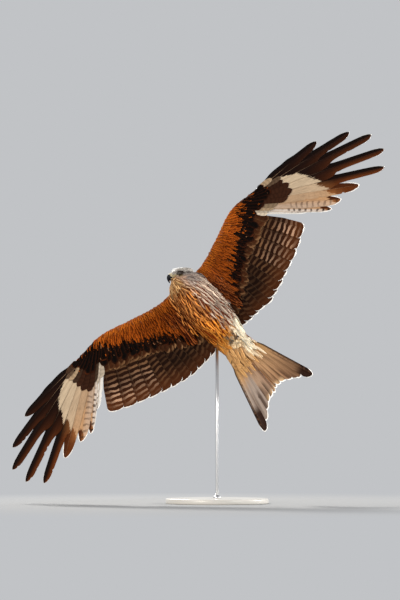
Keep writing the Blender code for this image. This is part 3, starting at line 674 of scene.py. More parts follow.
def unwrap(points, normals):
    """Places of skin points on a flat map of the skin: body and head each unrolled along
    their own length, and the upper and lower sides of the two wings laid side by side."""
    x, y, z = points.T
    local = head_place(points)
    near = (np.abs(local[:, 0]) < 0.047) & (np.linalg.norm(local[:, 1:], axis=1) < 0.033)
    turn = np.arctan2(y, -z) / (2 * np.pi) + 0.5
    body = np.stack([0.02 + 0.46 * (x + 0.21) / 0.40, 0.02 + 0.96 * turn], axis=1)
    turn = np.arctan2(local[:, 1], -local[:, 2]) / (2 * np.pi) + 0.5
    head = np.stack([0.52 + 0.46 * (local[:, 0] + 0.05) / 0.10, 0.52 + 0.46 * turn], axis=1)
    result = np.where(near[:, None], head, body)
    for side, shift in ((1, 0.0), (-1, 0.23)):
        flat_x, flat_y = flat_place(side, points)
        under = (normals[:, 2] < 0) * 0.23
        wing = np.stack([0.52 + shift + 0.21 * (flat_x + 0.06) / 0.28,
                         0.02 + under + 0.21 * (flat_y - 0.05) / 0.45], axis=1)
        of_side = (np.abs(y) > 0.085) & (x > -0.12) & (y * side > 0)
        result = np.where(of_side[:, None], wing, result)
    return np.clip(result, 0.004, 0.996)


tuft_patch = 0.003
tuft_thick = 0.00025
tuft_cup = 0.24
tuft_root = 0.0001
yaw_spread, width_spread, curl_spread = 0.13, 0.06, 0.10
edge_turn = 0.80
edge_facing = 0.62
never_off = 2.0
body_rise_off, covert_rise_off = 0.16, 0.14
tries_for_each = 3
small_feather = ((0.0, 0.20, 0.45, 0.70, 0.88, 1.0), (0.35, 0.78, 1.0, 0.98, 0.72, 0.24))
long_feather = ((0.0, 0.14, 0.30, 0.46, 0.60, 0.74, 0.88, 1.0),
                (0.30, 0.66, 0.94, 1.0, 0.90, 0.68, 0.38, 0.06))
soft_feather = ((0.0, 0.14, 0.30, 0.46, 0.62, 0.76, 0.90, 1.0),
                (0.30, 0.66, 0.94, 1.0, 0.96, 0.82, 0.54, 0.16))
small_columns = np.array((-1.0, 0.0, 1.0))
long_columns = np.array((-1.0, -0.5, 0.0, 0.5, 1.0))


def lie_of(root, flow, yaw, length, t, facing):
    """Places and directions off the skin under one feather; where the skin turns away under
    it, by more than the facing allows, the feather goes straight on."""
    near, out, _, _ = skin_tree.find_nearest(Vector(root))
    ahead, rise_off = Vector(flow).normalized(), facing[1]
    way = Vector(flow)
    way = (Matrix.Rotation(yaw, 3, out) @ (way - out * way.dot(out))).normalized()
    off = False
    line, normal = [near], [out]
    for step in np.diff(t):
        if not off:
            way = (way - out * way.dot(out)).normalized()
        near = near + way * float(length * step)
        hit, fresh, _, _ = skin_tree.find_nearest(near)
        rear = out.dot(fresh) < edge_turn or ahead.dot(fresh) > facing[0]
        if not off and rear and (near - hit).dot(fresh) >= 0:
            way = (ahead + out * rise_off).normalized()
            off = True
        elif not off:
            near = hit
            out = (out + fresh).normalized()
        line.append(near)
        normal.append(out)
    return line, normal


def lay_tufts(coat, roots, flow, sizes, look, streak, seed, shape, columns, facing, rise_off):
    """Body feathers over the skin: each follows it back from its root and stands off by lift."""
    draw = np.random.default_rng(seed)
    length, width, lift = sizes
    t, outline = np.array(shape)
    count, stations = len(roots), len(t)
    yaw = draw.normal(0, yaw_spread, count)
    laid = [lie_of(roots[i], flow[i], yaw[i], length[i], t, (facing[i], rise_off))
            for i in range(count)]
    line, normal = np.array(laid).transpose(1, 0, 2, 3)
    along = np.gradient(line, axis=1)
    along /= np.linalg.norm(along, axis=2)[..., None] + 1e-12
    side = np.cross(normal, along)
    uneven = 1 + draw.normal(0, width_spread, (count, stations))
    half = (width[:, None] / 2 * outline[None] * uneven)[..., None]
    rise = lift[:, None] * t[None]**0.8 * draw.uniform(0.8, 1.25, (count, 1))
    middle = line + normal * (tuft_root + rise)[..., None]
    curl = draw.normal(0, curl_spread, (count, 1, 1))
    rings = []
    for u in columns:
        drop = half * (tuft_cup * u * u + curl * u) - tuft_thick * (1 - abs(u))
        rings.append(middle + side * half * u - normal * drop)
    rings.append(middle - normal * tuft_thick)
    rings = np.stack(rings, axis=2)
    vane = np.empty((count, stations, len(columns) + 2, 2))
    vane[..., 0] = t[None, :, None]
    vane[..., 1] = np.concatenate([columns, [0.0, columns[0]]]) * 0.5 + 0.5
    patch = (vane - 0.5) * tuft_patch + unwrap(roots, normal[:, 0])[:, None, None, :]
    coat.add(rings, vane, patch, {"edge": look[0][:, None, None], "centre": look[1][:, None, None],
                                  "streak": streak[:, None, None]})


def scatter(seed, spacing_of, wanted, stretch=1.0):
    """Roots spread over the skin, no two nearer than the spacing that belongs there; with a
    stretch they stand further apart along the body than across it."""
    draw = np.random.default_rng(seed)
    whole.calc_loop_triangles()
    corner = np.zeros(len(whole.loop_triangles) * 3, int)
    whole.loop_triangles.foreach_get("vertices", corner)
    a, b, c = (skin_points[corner.reshape(-1, 3)[:, i]] for i in range(3))
    normals = np.cross(b - a, c - a)
    area = np.linalg.norm(normals, axis=1)
    normals /= area[:, None] + 1e-15
    middle = (a + b + c) / 3
    spacing = spacing_of(middle, normals)
    weight = np.where(wanted(middle, normals), area / spacing**2 / stretch, 0)
    chosen = draw.choice(len(area), size=int(weight.sum() * tries_for_each), p=weight / weight.sum())
    share = np.sort(draw.random((len(chosen), 2)), axis=1)
    points = (a[chosen] * share[:, :1] + b[chosen] * (share[:, 1:] - share[:, :1])
              + c[chosen] * (1 - share[:, 1:]))
    gap = spacing[chosen]
    cell = float(gap.max())
    steps = [(i, j, k) for i in (-1, 0, 1) for j in (-1, 0, 1) for k in (-1, 0, 1)]
    taken = {}
    kept = []
    for i, (x, y, z) in enumerate((points * (1 / stretch, 1, 1)).tolist()):
        p, q, r = int(x // cell), int(y // cell), int(z // cell)
        least = float(gap[i])**2
        if all((x - other[0])**2 + (y - other[1])**2 + (z - other[2])**2 >= least
               for dp, dq, dr in steps for other in taken.get((p + dp, q + dq, r + dr), ())):
            taken.setdefault((p, q, r), []).append((x, y, z))
            kept.append(i)
    return points[kept], normals[chosen[kept]]


feather_depth = 0.74


def coat_finish(name, roughness, depth, skew=0.0):
    """Barbs run out from the shaft; a darker streak lies along it, ragged at its sides."""
    coat = Finish(name, roughness, Specular_IOR_Level=0.04)
    t, v = coat.on_vane()
    fray = (coat.noise(420.0, 2.0) - 0.5) * 0.9
    wide = coat.fact("streak") * coat.ramp(t, 1.04, 0.78)
    streak = coat.ramp(wide - (abs(v * 2.0 - (1.0 + skew)) + fray), -0.14, 0.14)
    barbs = coat.sum("SINE", t * 120.0 - abs(v * 2.0 - 1.0) * 22.0)
    light = (barbs * 0.06 + coat.noise(95.0, 3.0) * 0.5 + 0.75) * depth
    colour = coat.mix(streak, coat.colour("edge"), coat.colour("centre"))
    coat.set(Base_Color=coat.node("VectorMath", 0, {"operation": "SCALE"}, i0=colour, Scale=light))
    coat.bump(0.25, 0.0004, barbs)
    return coat


def paints(edge, centre, glare=1.0):
    """The paints of a feather's edge and of its darker centre, as a pair; glare brightens the
    edge past its paint, as a painted highlight.
    """
    return np.array((paint(*edge) * glare, paint(*centre)))[:, None]


# What each stretch of the coat looks like, named for the place on a red kite where it grows,
# or for the light or shade painted into it.
breast = paints((250, 162, 82), (76, 24, 5))
belly_paints = paints((252, 160, 62), (106, 38, 5))
# Painted shade: the belly's paints, greyer and paler, for the bird's left side, away from the warm light.
shaded = paints((255, 236, 214), (128, 68, 42))
vent_paints = paints((222, 150, 66), (160, 88, 28))
# Pale undertail feathers, brightened past their paint as a painted highlight.
pale_vent_and_highlight = paints((255, 244, 218), (250, 226, 184), 1.04)
undertail = paints((208, 160, 104), (172, 122, 72))
throat = paints((222, 178, 122), (136, 82, 38))
blush = paints((214, 180, 156), (146, 106, 82))
nape = paints((176, 162, 154), (92, 76, 70))
crown = paints((206, 200, 192), (138, 128, 120))
# A painted rim highlight: near white paint, brightened further, along the top of the crown.
crown_rim_highlight = paints((255, 255, 253), (255, 255, 253), 1.1)
cheeks = paints((168, 158, 152), (96, 88, 84))
foot_ring = paints((255, 232, 192), (232, 184, 124))
lores = paints((208, 196, 152), (160, 144, 96))
# Dark feathers round the eye, with painted shadow under the brow laid in the same paint.
eye_mask_and_brow_shadow = paints((56, 42, 34), (30, 22, 19))
olive = paints((120, 104, 52), (86, 72, 34))
back_paints = paints((160, 98, 54), (58, 36, 24))
rump = paints((184, 104, 50), (112, 58, 28))
lesser = paints((178, 86, 20), (104, 42, 9))
leading = paints((206, 112, 34), (140, 62, 14))
axillary = paints((170, 92, 44), (62, 22, 6))
carpal = paints((52, 22, 8), (12, 6, 4))
upper = paints((158, 96, 54), (54, 34, 24))
band = paints((206, 170, 122), (120, 82, 52))
fleck_edge = paint(150, 102, 70)
nape_depth = np.array((0.8, 0.6))[:, None, None]
ring_place = (-0.130, 0.004)
covert_border = ((0.09, 0.12, 0.16, 0.21, 0.28, 0.315, 0.34),
                 (0.150, 0.120, 0.090, 0.074, 0.050, 0.036, 0.018))


def on_head(points):
    """How far places belong to the head, from 0 on the neck to 1."""
    local = head_place(points)
    reach = np.linalg.norm((local - (-0.006, 0, -0.002)) / (0.038, 0.030, 0.031), axis=1)
    return 1 - ease(0.95, 1.35, reach)


def on_wing(points):
    """How far places belong to a wing, from 0 on the body to 1."""
    half_width = follow(trunk_shape, np.clip(points[:, 0], -0.15, 0.16))[:, 0]
    beside = ease(0.002, 0.016, np.abs(points[:, 1]) - half_width)
    return beside * (points[:, 0] > -0.13) * (1 - on_head(points))


def painted(colour, *layers):
    """A colour with others laid over it in turn, each by its share."""
    for layer, share in layers:
        colour = blend(colour, layer, share)
    return colour


def head_colours(points, draw):
    """Paints of the feathers of the head: grey cheeks, a painted rim highlight on the crown,
    and a dark mask round the eye that is partly painted shadow under the brow.
    """
    x, y, z = head_place(points).T

    def off(middle_x, middle_z, reach_x, reach_z):
        return np.hypot((x - middle_x) / reach_x, (z - middle_z) / reach_z)

    # The top of the crown is painted near white as a rim highlight.
    rim_highlight = ease(0.000, 0.0030, z + 0.28 * x - 0.0140) * ease(0.014, 0.008, np.abs(y))
    lore = ease(0.004, 0.011, x) * ease(0.008, 0.000, np.abs(z + 0.003))
    # The dark round the eye is partly the feathers' own colour and partly painted shadow under the brow.
    socket = off(-0.0004, 0.0022, 0.0130, 0.0088) + draw.normal(0, 0.07, len(points))
    mask = np.maximum(ease(1.10, 0.88, socket), 0.7 * ease(1.2, 0.7, off(-0.024, 0.001, 0.006, 0.004)))
    return painted(
        cheeks, (crown, ease(-0.004, 0.008, z)), (crown_rim_highlight, rim_highlight), (lores, lore),
        (blush, ease(-0.004, -0.013, z)), (throat, 0.6 * ease(-0.010, -0.018, z)),
        (olive, ease(1.2, 0.7, off(-0.001, -0.007, 0.008, 0.0035))), (eye_mask_and_brow_shadow, mask))


def body_colours(points, normals, draw):
    """Paints and streak of the feathers at places of the body and neck."""
    x, y, z = points.T
    count = len(points)
    down = -normals[:, 2]
    under = np.where(x < -0.15, ease(-0.85, -0.5, down), ease(-0.60, -0.15, down))
    # The bird's left side is given the shaded paints as painted shade.
    shade = ease(-0.012, 0.018, y + 0.05 * (x - 0.05) + draw.normal(0, 0.010, count))
    vent = ease(-0.050, -0.085, x + 0.3 * (0.02 - y))
    # On the bird's left side the pale rear feathers are whitened further as a painted highlight.
    white = ease(0.010, 0.030, y + draw.normal(0, 0.005, count)) * ease(-0.205, -0.150, x)
    rear = painted(vent_paints, (undertail, ease(-0.100, -0.140, x)), (pale_vent_and_highlight, white))
    ring = ease(0.030, 0.016, np.hypot(x - ring_place[0], y - ring_place[1]))
    neck = ease(0.108, 0.136, x + 0.12 * y + draw.normal(0, 0.004, count))
    collar = painted(throat, (blush, ease(-0.016, 0.002, y)), (nape, ease(0.004, 0.020, y)))
    below = painted(belly_paints, (breast, ease(-0.03, 0.06, x)),
                    (shaded, np.outer((0.9, 0.8), shade)), (rear, vent), (foot_ring, ring),
                    (collar, neck))
    head = on_head(points)
    look = painted(back_paints, (rump, ease(-0.05, -0.11, x)),
                   (crown * nape_depth, ease(0.080, 0.118, x)), (below, under),
                   (head_colours(points, draw), head))
    streak = between(0.62, between(0.48, 0.34, neck) * (1 - 0.65 * vent), under)
    clump = 1 + 0.30 * np.sin(x * 60 + y * 110 + 2.0 * np.sin(y * 75 + x * 30)) * (1 - head)
    tone = between(draw.uniform(0.62, 1.20, count) * clump, draw.uniform(0.85, 1.1, count),
                   np.maximum(head, 0.9 * vent))
    deep = between(draw.uniform(0.6, 1.3, count), draw.uniform(0.9, 1.06, count), vent)
    return look * np.stack([tone, deep])[..., None], between(streak, 0.26, head)


def wing_colours(side, points, normals, draw):
    """The same for the small coverts of the wing, above and below."""
    x, y = flat_place(side, points)
    count = len(points)
    under = ease(-0.85, -0.45, -normals[:, 2])
    front = leading_edge(y) - x
    depth = between(np.array((0.78, 0.66))[:, None], 1.02, ease(0.15, 0.26, y))
    look = blend(leading, lesser, ease(0.006, 0.030, front)) * depth[..., None]
    border = np.interp(y, *covert_border) + 0.006 * np.sin(70 * y + 1.5 * np.sin(160 * y))
    dark = ease(-0.010, 0.004, front - border + draw.normal(0, 0.010, count))
    dark = np.maximum(dark, ease(0.335, 0.365, y + draw.normal(0, 0.010, count)))
    armpit = ease(0.130, 0.090, y + draw.normal(0, 0.008, count)) * ease(0.015, 0.050, front)
    look = painted(look, (axillary, armpit), (carpal, dark))
    look[0, (draw.random(count) < 0.45) & (y > 0.27) & (front < 0.055)] = lesser[0] * 1.1
    look[0, (draw.random(count) < 0.12) & (front > border + 0.004) & (y > 0.10)] = fleck_edge
    above = blend(upper, band, ease(0.045, 0.075, front) * ease(0.36, 0.30, y))
    streak = between(between(0.32, 0.60, armpit), 0.70, dark)
    tone = draw.uniform(0.72, 1.24, count)[:, None]
    return blend(above, look, under) * tone, between(0.55, streak, under)


def body_flow(points):
    """The lie of the body feathers: back along the head, round the neck and down the body."""
    head = on_head(points)[:, None]
    neck = ease(0.085, 0.150, points[:, 0])[:, None]
    back_of_head = np.array(head_frame.to_3x3() @ Vector((-1.0, 0.0, -0.15)))
    down = np.array((-1.0, 0.0, 0.0)) + np.array((0.0, 0.10, 0.0)) * np.tanh(points[:, 1:2] / 0.03)
    return (down + back_of_head * neck * 0.3) * (1 - head) + back_of_head * head


def wing_flow(side, points):
    """The lie of the small coverts: out and back over the arm."""
    x, y = flat_place(side, points)
    angle = np.radians(between(82.0, 44.0, ease(0.08, 0.36, y)))
    step = 0.004
    start = wing_surface(side, x, y, 0)
    return wing_surface(side, x - np.sin(angle) * step, y + np.cos(angle) * step, 0) - start


eye_place = np.array((0.0010, 0.0178, 0.0012))
eye_clear = 0.0080
bill_clear = 0.0258
foot_side = 0.026
foot_front, foot_rear = -0.112, -0.150
coat_end, plume_end, vent_start = -0.197, -0.180, -0.092
trunk_stretch = 1.6


def bare(points):
    """The eyes and the foot of the bill carry no feathers."""
    local = head_place(points)
    spots = (local[:, 0] > bill_clear) & (on_head(points) > 0.3)
    for side in (1, -1):
        away = (local - eye_place * (1, side, 1)) * (1.0, 0.6, 1.0)
        spots |= np.linalg.norm(away, axis=1) < eye_clear
    return spots


def body_spacing(points, normals):
    spacing = between(0.0106, 0.0072, ease(0.05, 0.13, points[:, 0]))
    spacing = between(spacing, 0.0088, ease(-0.07, -0.11, points[:, 0]))
    spacing = between(spacing, 0.0042, ease(0.05, 0.4, on_head(points)))
    return between(spacing, 0.0027, on_head(points))


def lay_region(name, roots, normals, seed, finish, slot, shape, columns, sizes, *nodes):
    """One region of the body's coat; sizes gives length, width and lift at its roots."""
    draw = np.random.default_rng(seed)
    look, streak = body_colours(roots, normals, draw)
    length, width, lift = sizes(roots, normals)
    length = length * draw.uniform(0.70, 1.25, len(roots))
    facing = np.where(roots[:, 0] < -0.10, edge_facing, never_off)
    coat = Coat()
    lay_tufts(coat, roots, body_flow(roots), (length, width, lift), look, streak, seed + 1,
              shape, columns, facing, body_rise_off)
    coat.make(name, finish, slot, *nodes)


def head_sizes(points, normals):
    x, y, z = head_place(points).T
    rear = np.maximum(ease(-0.012, -0.034, x), ease(-0.008, -0.020, z))
    small = ease(0.018, 0.009, np.hypot(x - eye_place[0], z - eye_place[2]))
    chin = ease(-0.010, -0.020, z) * ease(-0.01, 0.01, x)
    return (between(between(0.0095, 0.0170, rear), 0.0050, small),
            between(between(0.0036, 0.0052, rear), 0.0024, small),
            between(between(0.0014, 0.0022, rear) * (1 - 0.5 * small), 0.0085, chin))


def trunk_sizes(points, normals):
    x, y, z = points.T
    front, rear = ease(0.03, 0.13, x), ease(-0.10, -0.16, x)
    fine = 1 - 0.5 * ease(0.0, 0.4, on_head(points))
    last = between(0.042, 0.054, ease(0.0, -0.4, normals[:, 2]))
    length = between(between(0.044, 0.034, front), last, rear) * fine
    over_feet = (foot_side > np.abs(y)) & (normals[:, 2] < 0) & (x > foot_rear)
    length = np.where(over_feet, np.minimum(length, np.maximum(x - foot_front, 0.012)), length)
    beard = 0.0045 * ease(0.118, 0.142, x) * ease(0.008, -0.010, y)
    return (length, between(between(0.0150, 0.0110, front), 0.0150, rear) * fine,
            between(0.0056, 0.0034, front) * fine + beard)


def plume_sizes(points, normals):
    front = ease(0.03, 0.13, points[:, 0])
    return (between(0.030, 0.022, front), between(0.0036, 0.0028, front),
            between(0.0058, 0.0046, front))


def off_feet(p, n):
    return ((n[:, 2] > 0) | (np.abs(p[:, 1]) > foot_side) | (p[:, 0] > foot_front + 0.026)
            | (p[:, 0] < foot_rear))


body_coat = coat_finish("body_feathers", 0.72, 0.86, 0.34)
head_coat = coat_finish("head_feathers", 0.78, 1.0)
roots, normals = scatter(3, body_spacing, lambda p, n: (on_head(p) > 0.5) & ~bare(p))
lay_region("head_coat", roots, normals, 5, head_coat, "head_feathers",
           small_feather, small_columns, head_sizes, "head")
roots, normals = scatter(
    4, body_spacing,
    lambda p, n: (on_wing(p) < 0.5) & (on_head(p) <= 0.5) & (p[:, 0] > coat_end), trunk_stretch)
soft = (roots[:, 0] < vent_start) & (normals[:, 2] < 0.2)
lay_region("body_coat", roots[~soft], normals[~soft], 7, body_coat, "body_feathers",
           long_feather, long_columns, trunk_sizes, "torso", "neck")
lay_region("vent_coat", roots[soft], normals[soft], 8, head_coat, "body_feathers",
           soft_feather, long_columns, trunk_sizes)
roots, normals = scatter(
    9, lambda p, n: between(0.0150, 0.0100, ease(0.04, 0.13, p[:, 0])),
    lambda p, n: (on_wing(p) < 0.5) & (on_head(p) < 0.4) & (p[:, 0] > plume_end) & off_feet(p, n))
lay_region("body_plumes", roots, normals, 11, body_coat, "body_feathers",
           small_feather, small_columns, plume_sizes)

for side, name in left_and_right:
    def front_of(points):
        """How far places lie behind the wing's front edge."""
        x, y = flat_place(side, points)
        return leading_edge(y) - x

    roots, normals = scatter(
        11 + side, lambda p, n: between(0.0042, 0.0060, ease(0.0, 0.03, front_of(p))),
        lambda p, n: (on_wing(p) >= 0.5) & (p[:, 1] * side > 0)
        & ((np.abs(n[:, 2]) > 0.55) | (front_of(p) < 0.03)))
    draw = np.random.default_rng(13 + side)
    look, streak = wing_colours(side, roots, normals, draw)
    back = ease(0.0, 0.05, front_of(roots))
    armpit = ease(0.140, 0.095, flat_place(side, roots)[1]) * back * (normals[:, 2] < 0)
    length = between(between(0.015, 0.028, back), 0.070, armpit)
    length = length * draw.uniform(0.85, 1.15, len(roots))
    sizes = (length, between(between(0.0078, 0.0106, back), 0.0130, armpit),
             between(0.0014, 0.0034, back))
    coat = Coat()
    lay_tufts(coat, roots, wing_flow(side, roots), sizes, look, streak, 17 + side, small_feather,
              small_columns, np.full(len(roots), edge_facing), covert_rise_off)
    coat.make("lesser_coverts_" + name, body_coat, "body_feathers")


# The flight feathers. Ten primaries on each hand and twelve secondaries on each arm are long
# horn shafts with a web of barbs on both sides. Each is set in the rear edge of the flesh and
# passes its wide web under the next feather out; the coverts lie over their roots in tiers.
primary_lengths = (0.236, 0.276, 0.305, 0.330, 0.390, 0.484, 0.495, 0.469, 0.394, 0.270)
primary_angles = (42.0, 43.5, 42.7, 38.4, 32.8, 27.8, 21.4, 14.6, 9.2, 2.8)
primary_roots = ((0.176, 0.330), (0.184, 0.435))
primaries = len(primary_lengths)
fingers = 5
hand_reach = {1: 1.05, -1: 0.985}
covert_reach = {1: 1.05, -1: 1.10}
secondaries = 12
secondary_roots = ((0.172, 0.312), (0.088, 0.178), (0.072, 0.098))
elbow_share = 0.64
secondary_lengths = (0.249, 0.192)
secondary_angles = (51.7, 99.5)
wrist_fan = np.array((0.004, 0.033))
flight_widths = (0.017, 0.034)
covert_widths = (0.015, 0.022)
flight_thick, covert_thick = 0.00045, 0.00035
shingle = 0.0010
overlap = 0.52
greater_tier, median_tier = 0.0027, 0.0048
# Lengths of the hand's coverts, and how brown each is, from the wrist and from the tip.
primary_coverts = {1: (0.100, 0.104, 0.108, 0.118, 0.136, 0.144, 0.136, 0.122, 0.100, 0.066),
                   -1: (0.118, 0.120, 0.118, 0.134, 0.138, 0.120, 0.100, 0.082, 0.074, 0.060)}
browns = {1: (0.35, 0.85, 1.0, 1.0, 1.0, 1.0, 0.5, 0.15, 0.1, 0.0),
          -1: (0.95, 0.85, 0.25, 0.95, 1.0, 1.0, 1.0, 0.9, 0.1, 0.0)}
greater_coverts = (0.100, 0.086, 0.146)
median_coverts = (0.070, 0.070, 0.106)
# Vanes: places along a feather, and how wide its front and rear webs are there.
finger_vane = ((0, 0.2, 0.12), (0.12, 0.6, 0.6), (0.25, 1, 1), (0.42, 1, 1), (0.54, 1, 0.98),
               (0.64, 0.80, 0.60), (0.82, 0.68, 0.50), (0.93, 0.62, 0.46), (1, 0.52, 0.38))
flight_vane = ((0, 0.2, 0.12), (0.22, 0.9, 0.9), (0.45, 1, 1), (0.72, 1.02, 1.04),
               (0.92, 1.06, 1.14), (1, 1.02, 1.12))
covert_vane = ((0, 0.25, 0.25), (0.42, 1, 1), (0.84, 0.98, 0.96), (1, 0.8, 0.75))


def tucked_vane(*rear):
    """A vane whose rear web is partly tucked away under its neighbour."""
    return tuple(zip((0, 0.22, 0.45, 0.72, 0.90, 1), (0.2, 0.9, 1, 1, 0.86, 0.70), rear))


blunt_vane = tucked_vane(0.12, 0.62, 0.68, 0.68, 0.60, 0.48)
inner_vane = tucked_vane(0.10, 0.34, 0.38, 0.40, 0.36, 0.30)
narrow_vane = tucked_vane(0.06, 0.14, 0.14, 0.14, 0.14, 0.12)
finger_tip, blunt_tip, flight_tip = 0.040, 0.042, 0.013
hand_covert_tip, covert_tip = 0.036, 0.018
web_places = np.array((-1.0, -0.86, -0.55, -0.2, 0.0, 0.2, 0.45, 0.72, 0.92, 1.0))
shaft_column = 4
station_step, station_bunching = 0.0085, 0.92
slit_share, slit_depths = 0.05, (0.78, 0.93)
barb_slant = 0.55
quill_thick = (0.0011, 0.00025)
quill_share, quill_rise = 0.3, 0.8
short_feather, short_quill = 0.12, 0.6
ring_columns = np.concatenate([np.arange(len(web_places)), np.arange(len(web_places))[::-1]])


def shaft_gap(places, shaft):
    """How far flat places lie from the line of a shaft."""
    root, along, _ = shaft
    return np.abs((places[..., 0] - root[0]) * along[1] - (places[..., 1] - root[1]) * along[0])


def lay_vane(coat, surface, shaft, ahead, behind, outline, widths, tip, layer, thick, look, cell,
             draw):
    """One long feather on a surface, with its shaft raised and a few slits in its rear web."""
    root, along, length = shaft
    stations = int(10 + length / station_step)
    t = np.linspace(0, 1, stations)**station_bunching
    webs = follow(outline, t)
    line = np.array(root) + np.array(along) * length * t[:, None]
    space = [shaft_gap(line, other) if other else np.full(stations, widths[1])
             for other in (ahead, behind)]
    from_tip = np.clip((1 - t) * length / tip, 0.0, 1.0)
    rounding = np.sqrt(np.clip(1 - (1 - from_tip)**2, 0.012, 1))
    front = np.minimum(widths[0] * webs[:, 0], overlap * space[0]) * rounding
    rear = np.minimum(widths[1] * webs[:, 1], space[1]) * rounding
    slits = (draw.random(stations) < slit_share) & (t > 0.45) & (t < 0.97)
    rear = rear * np.where(slits, draw.uniform(*slit_depths, stations), 1.0)
    rear *= 1 + draw.normal(0, 0.008, stations)
    front *= 1 + draw.normal(0, 0.006, stations)
    offset = web_places * np.where(web_places < 0, front[:, None], rear[:, None])
    shaft_half = np.interp(t, (0, 1), quill_thick) * (1 if length > short_feather else short_quill)
    offset[:, shaft_column - 1] = -np.minimum(shaft_half, front * quill_share)
    offset[:, shaft_column + 1] = np.minimum(shaft_half, rear * quill_share)
    slant = np.abs(offset) * barb_slant * np.clip(1 - t, 0.0, 1)[:, None]
    x = line[:, :1] - along[1] * offset + along[0] * slant
    y = line[:, 1:] + along[0] * offset + along[1] * slant
    rise = -offset / np.where(offset < 0, space[0][:, None], space[1][:, None])
    sag = layer + shingle * rise + draw.normal(0, 0.0002)
    half = thick / 2 * np.interp(np.abs(web_places), (0, 0.5, 1), (1.0, 0.6, 0.25))
    half = half * np.ones_like(offset)
    half[:, shaft_column] += shaft_half * quill_rise
    rings = np.concatenate([surface(x, y, sag + half), surface(x, y, sag - half)[:, ::-1]], axis=1)
    around = rings.shape[1]
    vane = np.empty((stations, around + 1, 2))
    vane[..., 0] = (t * length)[:, None]
    vane[..., 1] = (offset / widths[1] * 0.5 + 0.5)[:, np.append(ring_columns, 0)]
    girth = np.linalg.norm(np.diff(rings[stations // 2], axis=0), axis=1)
    girth = np.concatenate([[0], np.cumsum(girth), [girth.sum() + 1e-4]]) / (girth.sum() + 1e-4)
    place_in_cell = np.stack(np.broadcast_arrays(girth[None], t[:, None]), axis=-1)
    bake = cell[0] + (cell[1] - cell[0]) * place_in_cell
    edge_gap = np.minimum(np.where(offset < 0, front[:, None] + offset, rear[:, None] - offset),
                          ((1 - t) * length)[:, None])
    full = np.ones((stations, around))
    place = {"t": t[:, None] * full, "reach": (t * length)[:, None] * full,
             "w": web_places[ring_columns] * full, "under": (np.arange(around) >= around / 2) * full}
    facts = look(place)
    facts["edge_gap"] = edge_gap[:, ring_columns]
    facts["shaft"] = (ring_columns == shaft_column) * full
    coat.add(rings[None], vane[None], bake[None], {name: value[None] for name, value in facts.items()})


def map_cells(count, wide):
    """Cells of a square map, one for each feather, side by side."""
    rows = math.ceil(count / wide)
    return [np.array([((k % wide + across) / wide, (k // wide + along) / rows)
                      for across, along in ((0.04, 0.02), (0.96, 0.98))]) for k in range(count)]


def lay_row(coat, surface, shafts, outlines, widths, tips, layer, thick, looks, cells, draw,
            varied=0.012):
    """A row of overlapping feathers, from the outermost in."""
    beside = [None, *shafts, None]
    for k, (root, along, length) in enumerate(shafts):
        length = length * draw.uniform(1 - varied, 1 + varied)
        lay_vane(coat, surface, (root, along, length), beside[k], beside[k + 2], outlines[k], widths,
                 tips[k], layer, thick, looks[k], cells.pop(0), draw)


def lerp_place(first, second, share):
    return tuple(a + (b - a) * share for a, b in zip(first, second))


def primary_shafts(side):
    """Root, direction and length of the hand's feathers, from the outermost in."""
    shafts = []
    for k in reversed(range(primaries)):
        root = lerp_place(*primary_roots, k / (primaries - 1))
        angle = math.radians(primary_angles[k])
        shafts.append((root, (-math.sin(angle), math.cos(angle)), primary_lengths[k] * hand_reach[side]))
    return shafts


def secondary_shafts():
    """The same for the arm, from the wrist in."""
    shafts = []
    at_wrist, at_elbow, at_shoulder = secondary_roots
    for share in np.arange(secondaries) / (secondaries - 1):
        if share < elbow_share:
            root = lerp_place(at_wrist, at_elbow, share / elbow_share)
        else:
            root = lerp_place(at_elbow, at_shoulder, (share - elbow_share) / (1 - elbow_share))
        angle = math.radians(between(*secondary_angles, 1 - (1 - share)**1.4))
        tip = np.array(root) + (between(*secondary_lengths, share)
                                * np.array((-math.sin(angle), math.cos(angle))))
        root = np.array(root) + wrist_fan * max(0.0, 1 - share / 0.5)**1.5
        reach = float(np.linalg.norm(tip - root))
        shafts.append((tuple(root), tuple((tip - root) / reach), reach))
    return shafts


def shortened(shafts, lengths):
    return [(root, along, length) for (root, along, _), length in zip(shafts, lengths)]


def doubled(shafts):
    """The shafts of a row with one more between each two."""
    result = []
    for first, second in zip(shafts[:-1], shafts[1:]):
        middle = tuple(lerp_place(a, b, 0.5) for a, b in zip(first[:2], second[:2]))
        result += [first, (*middle, (first[2] + second[2]) / 2)]
    return result + [shafts[-1]]


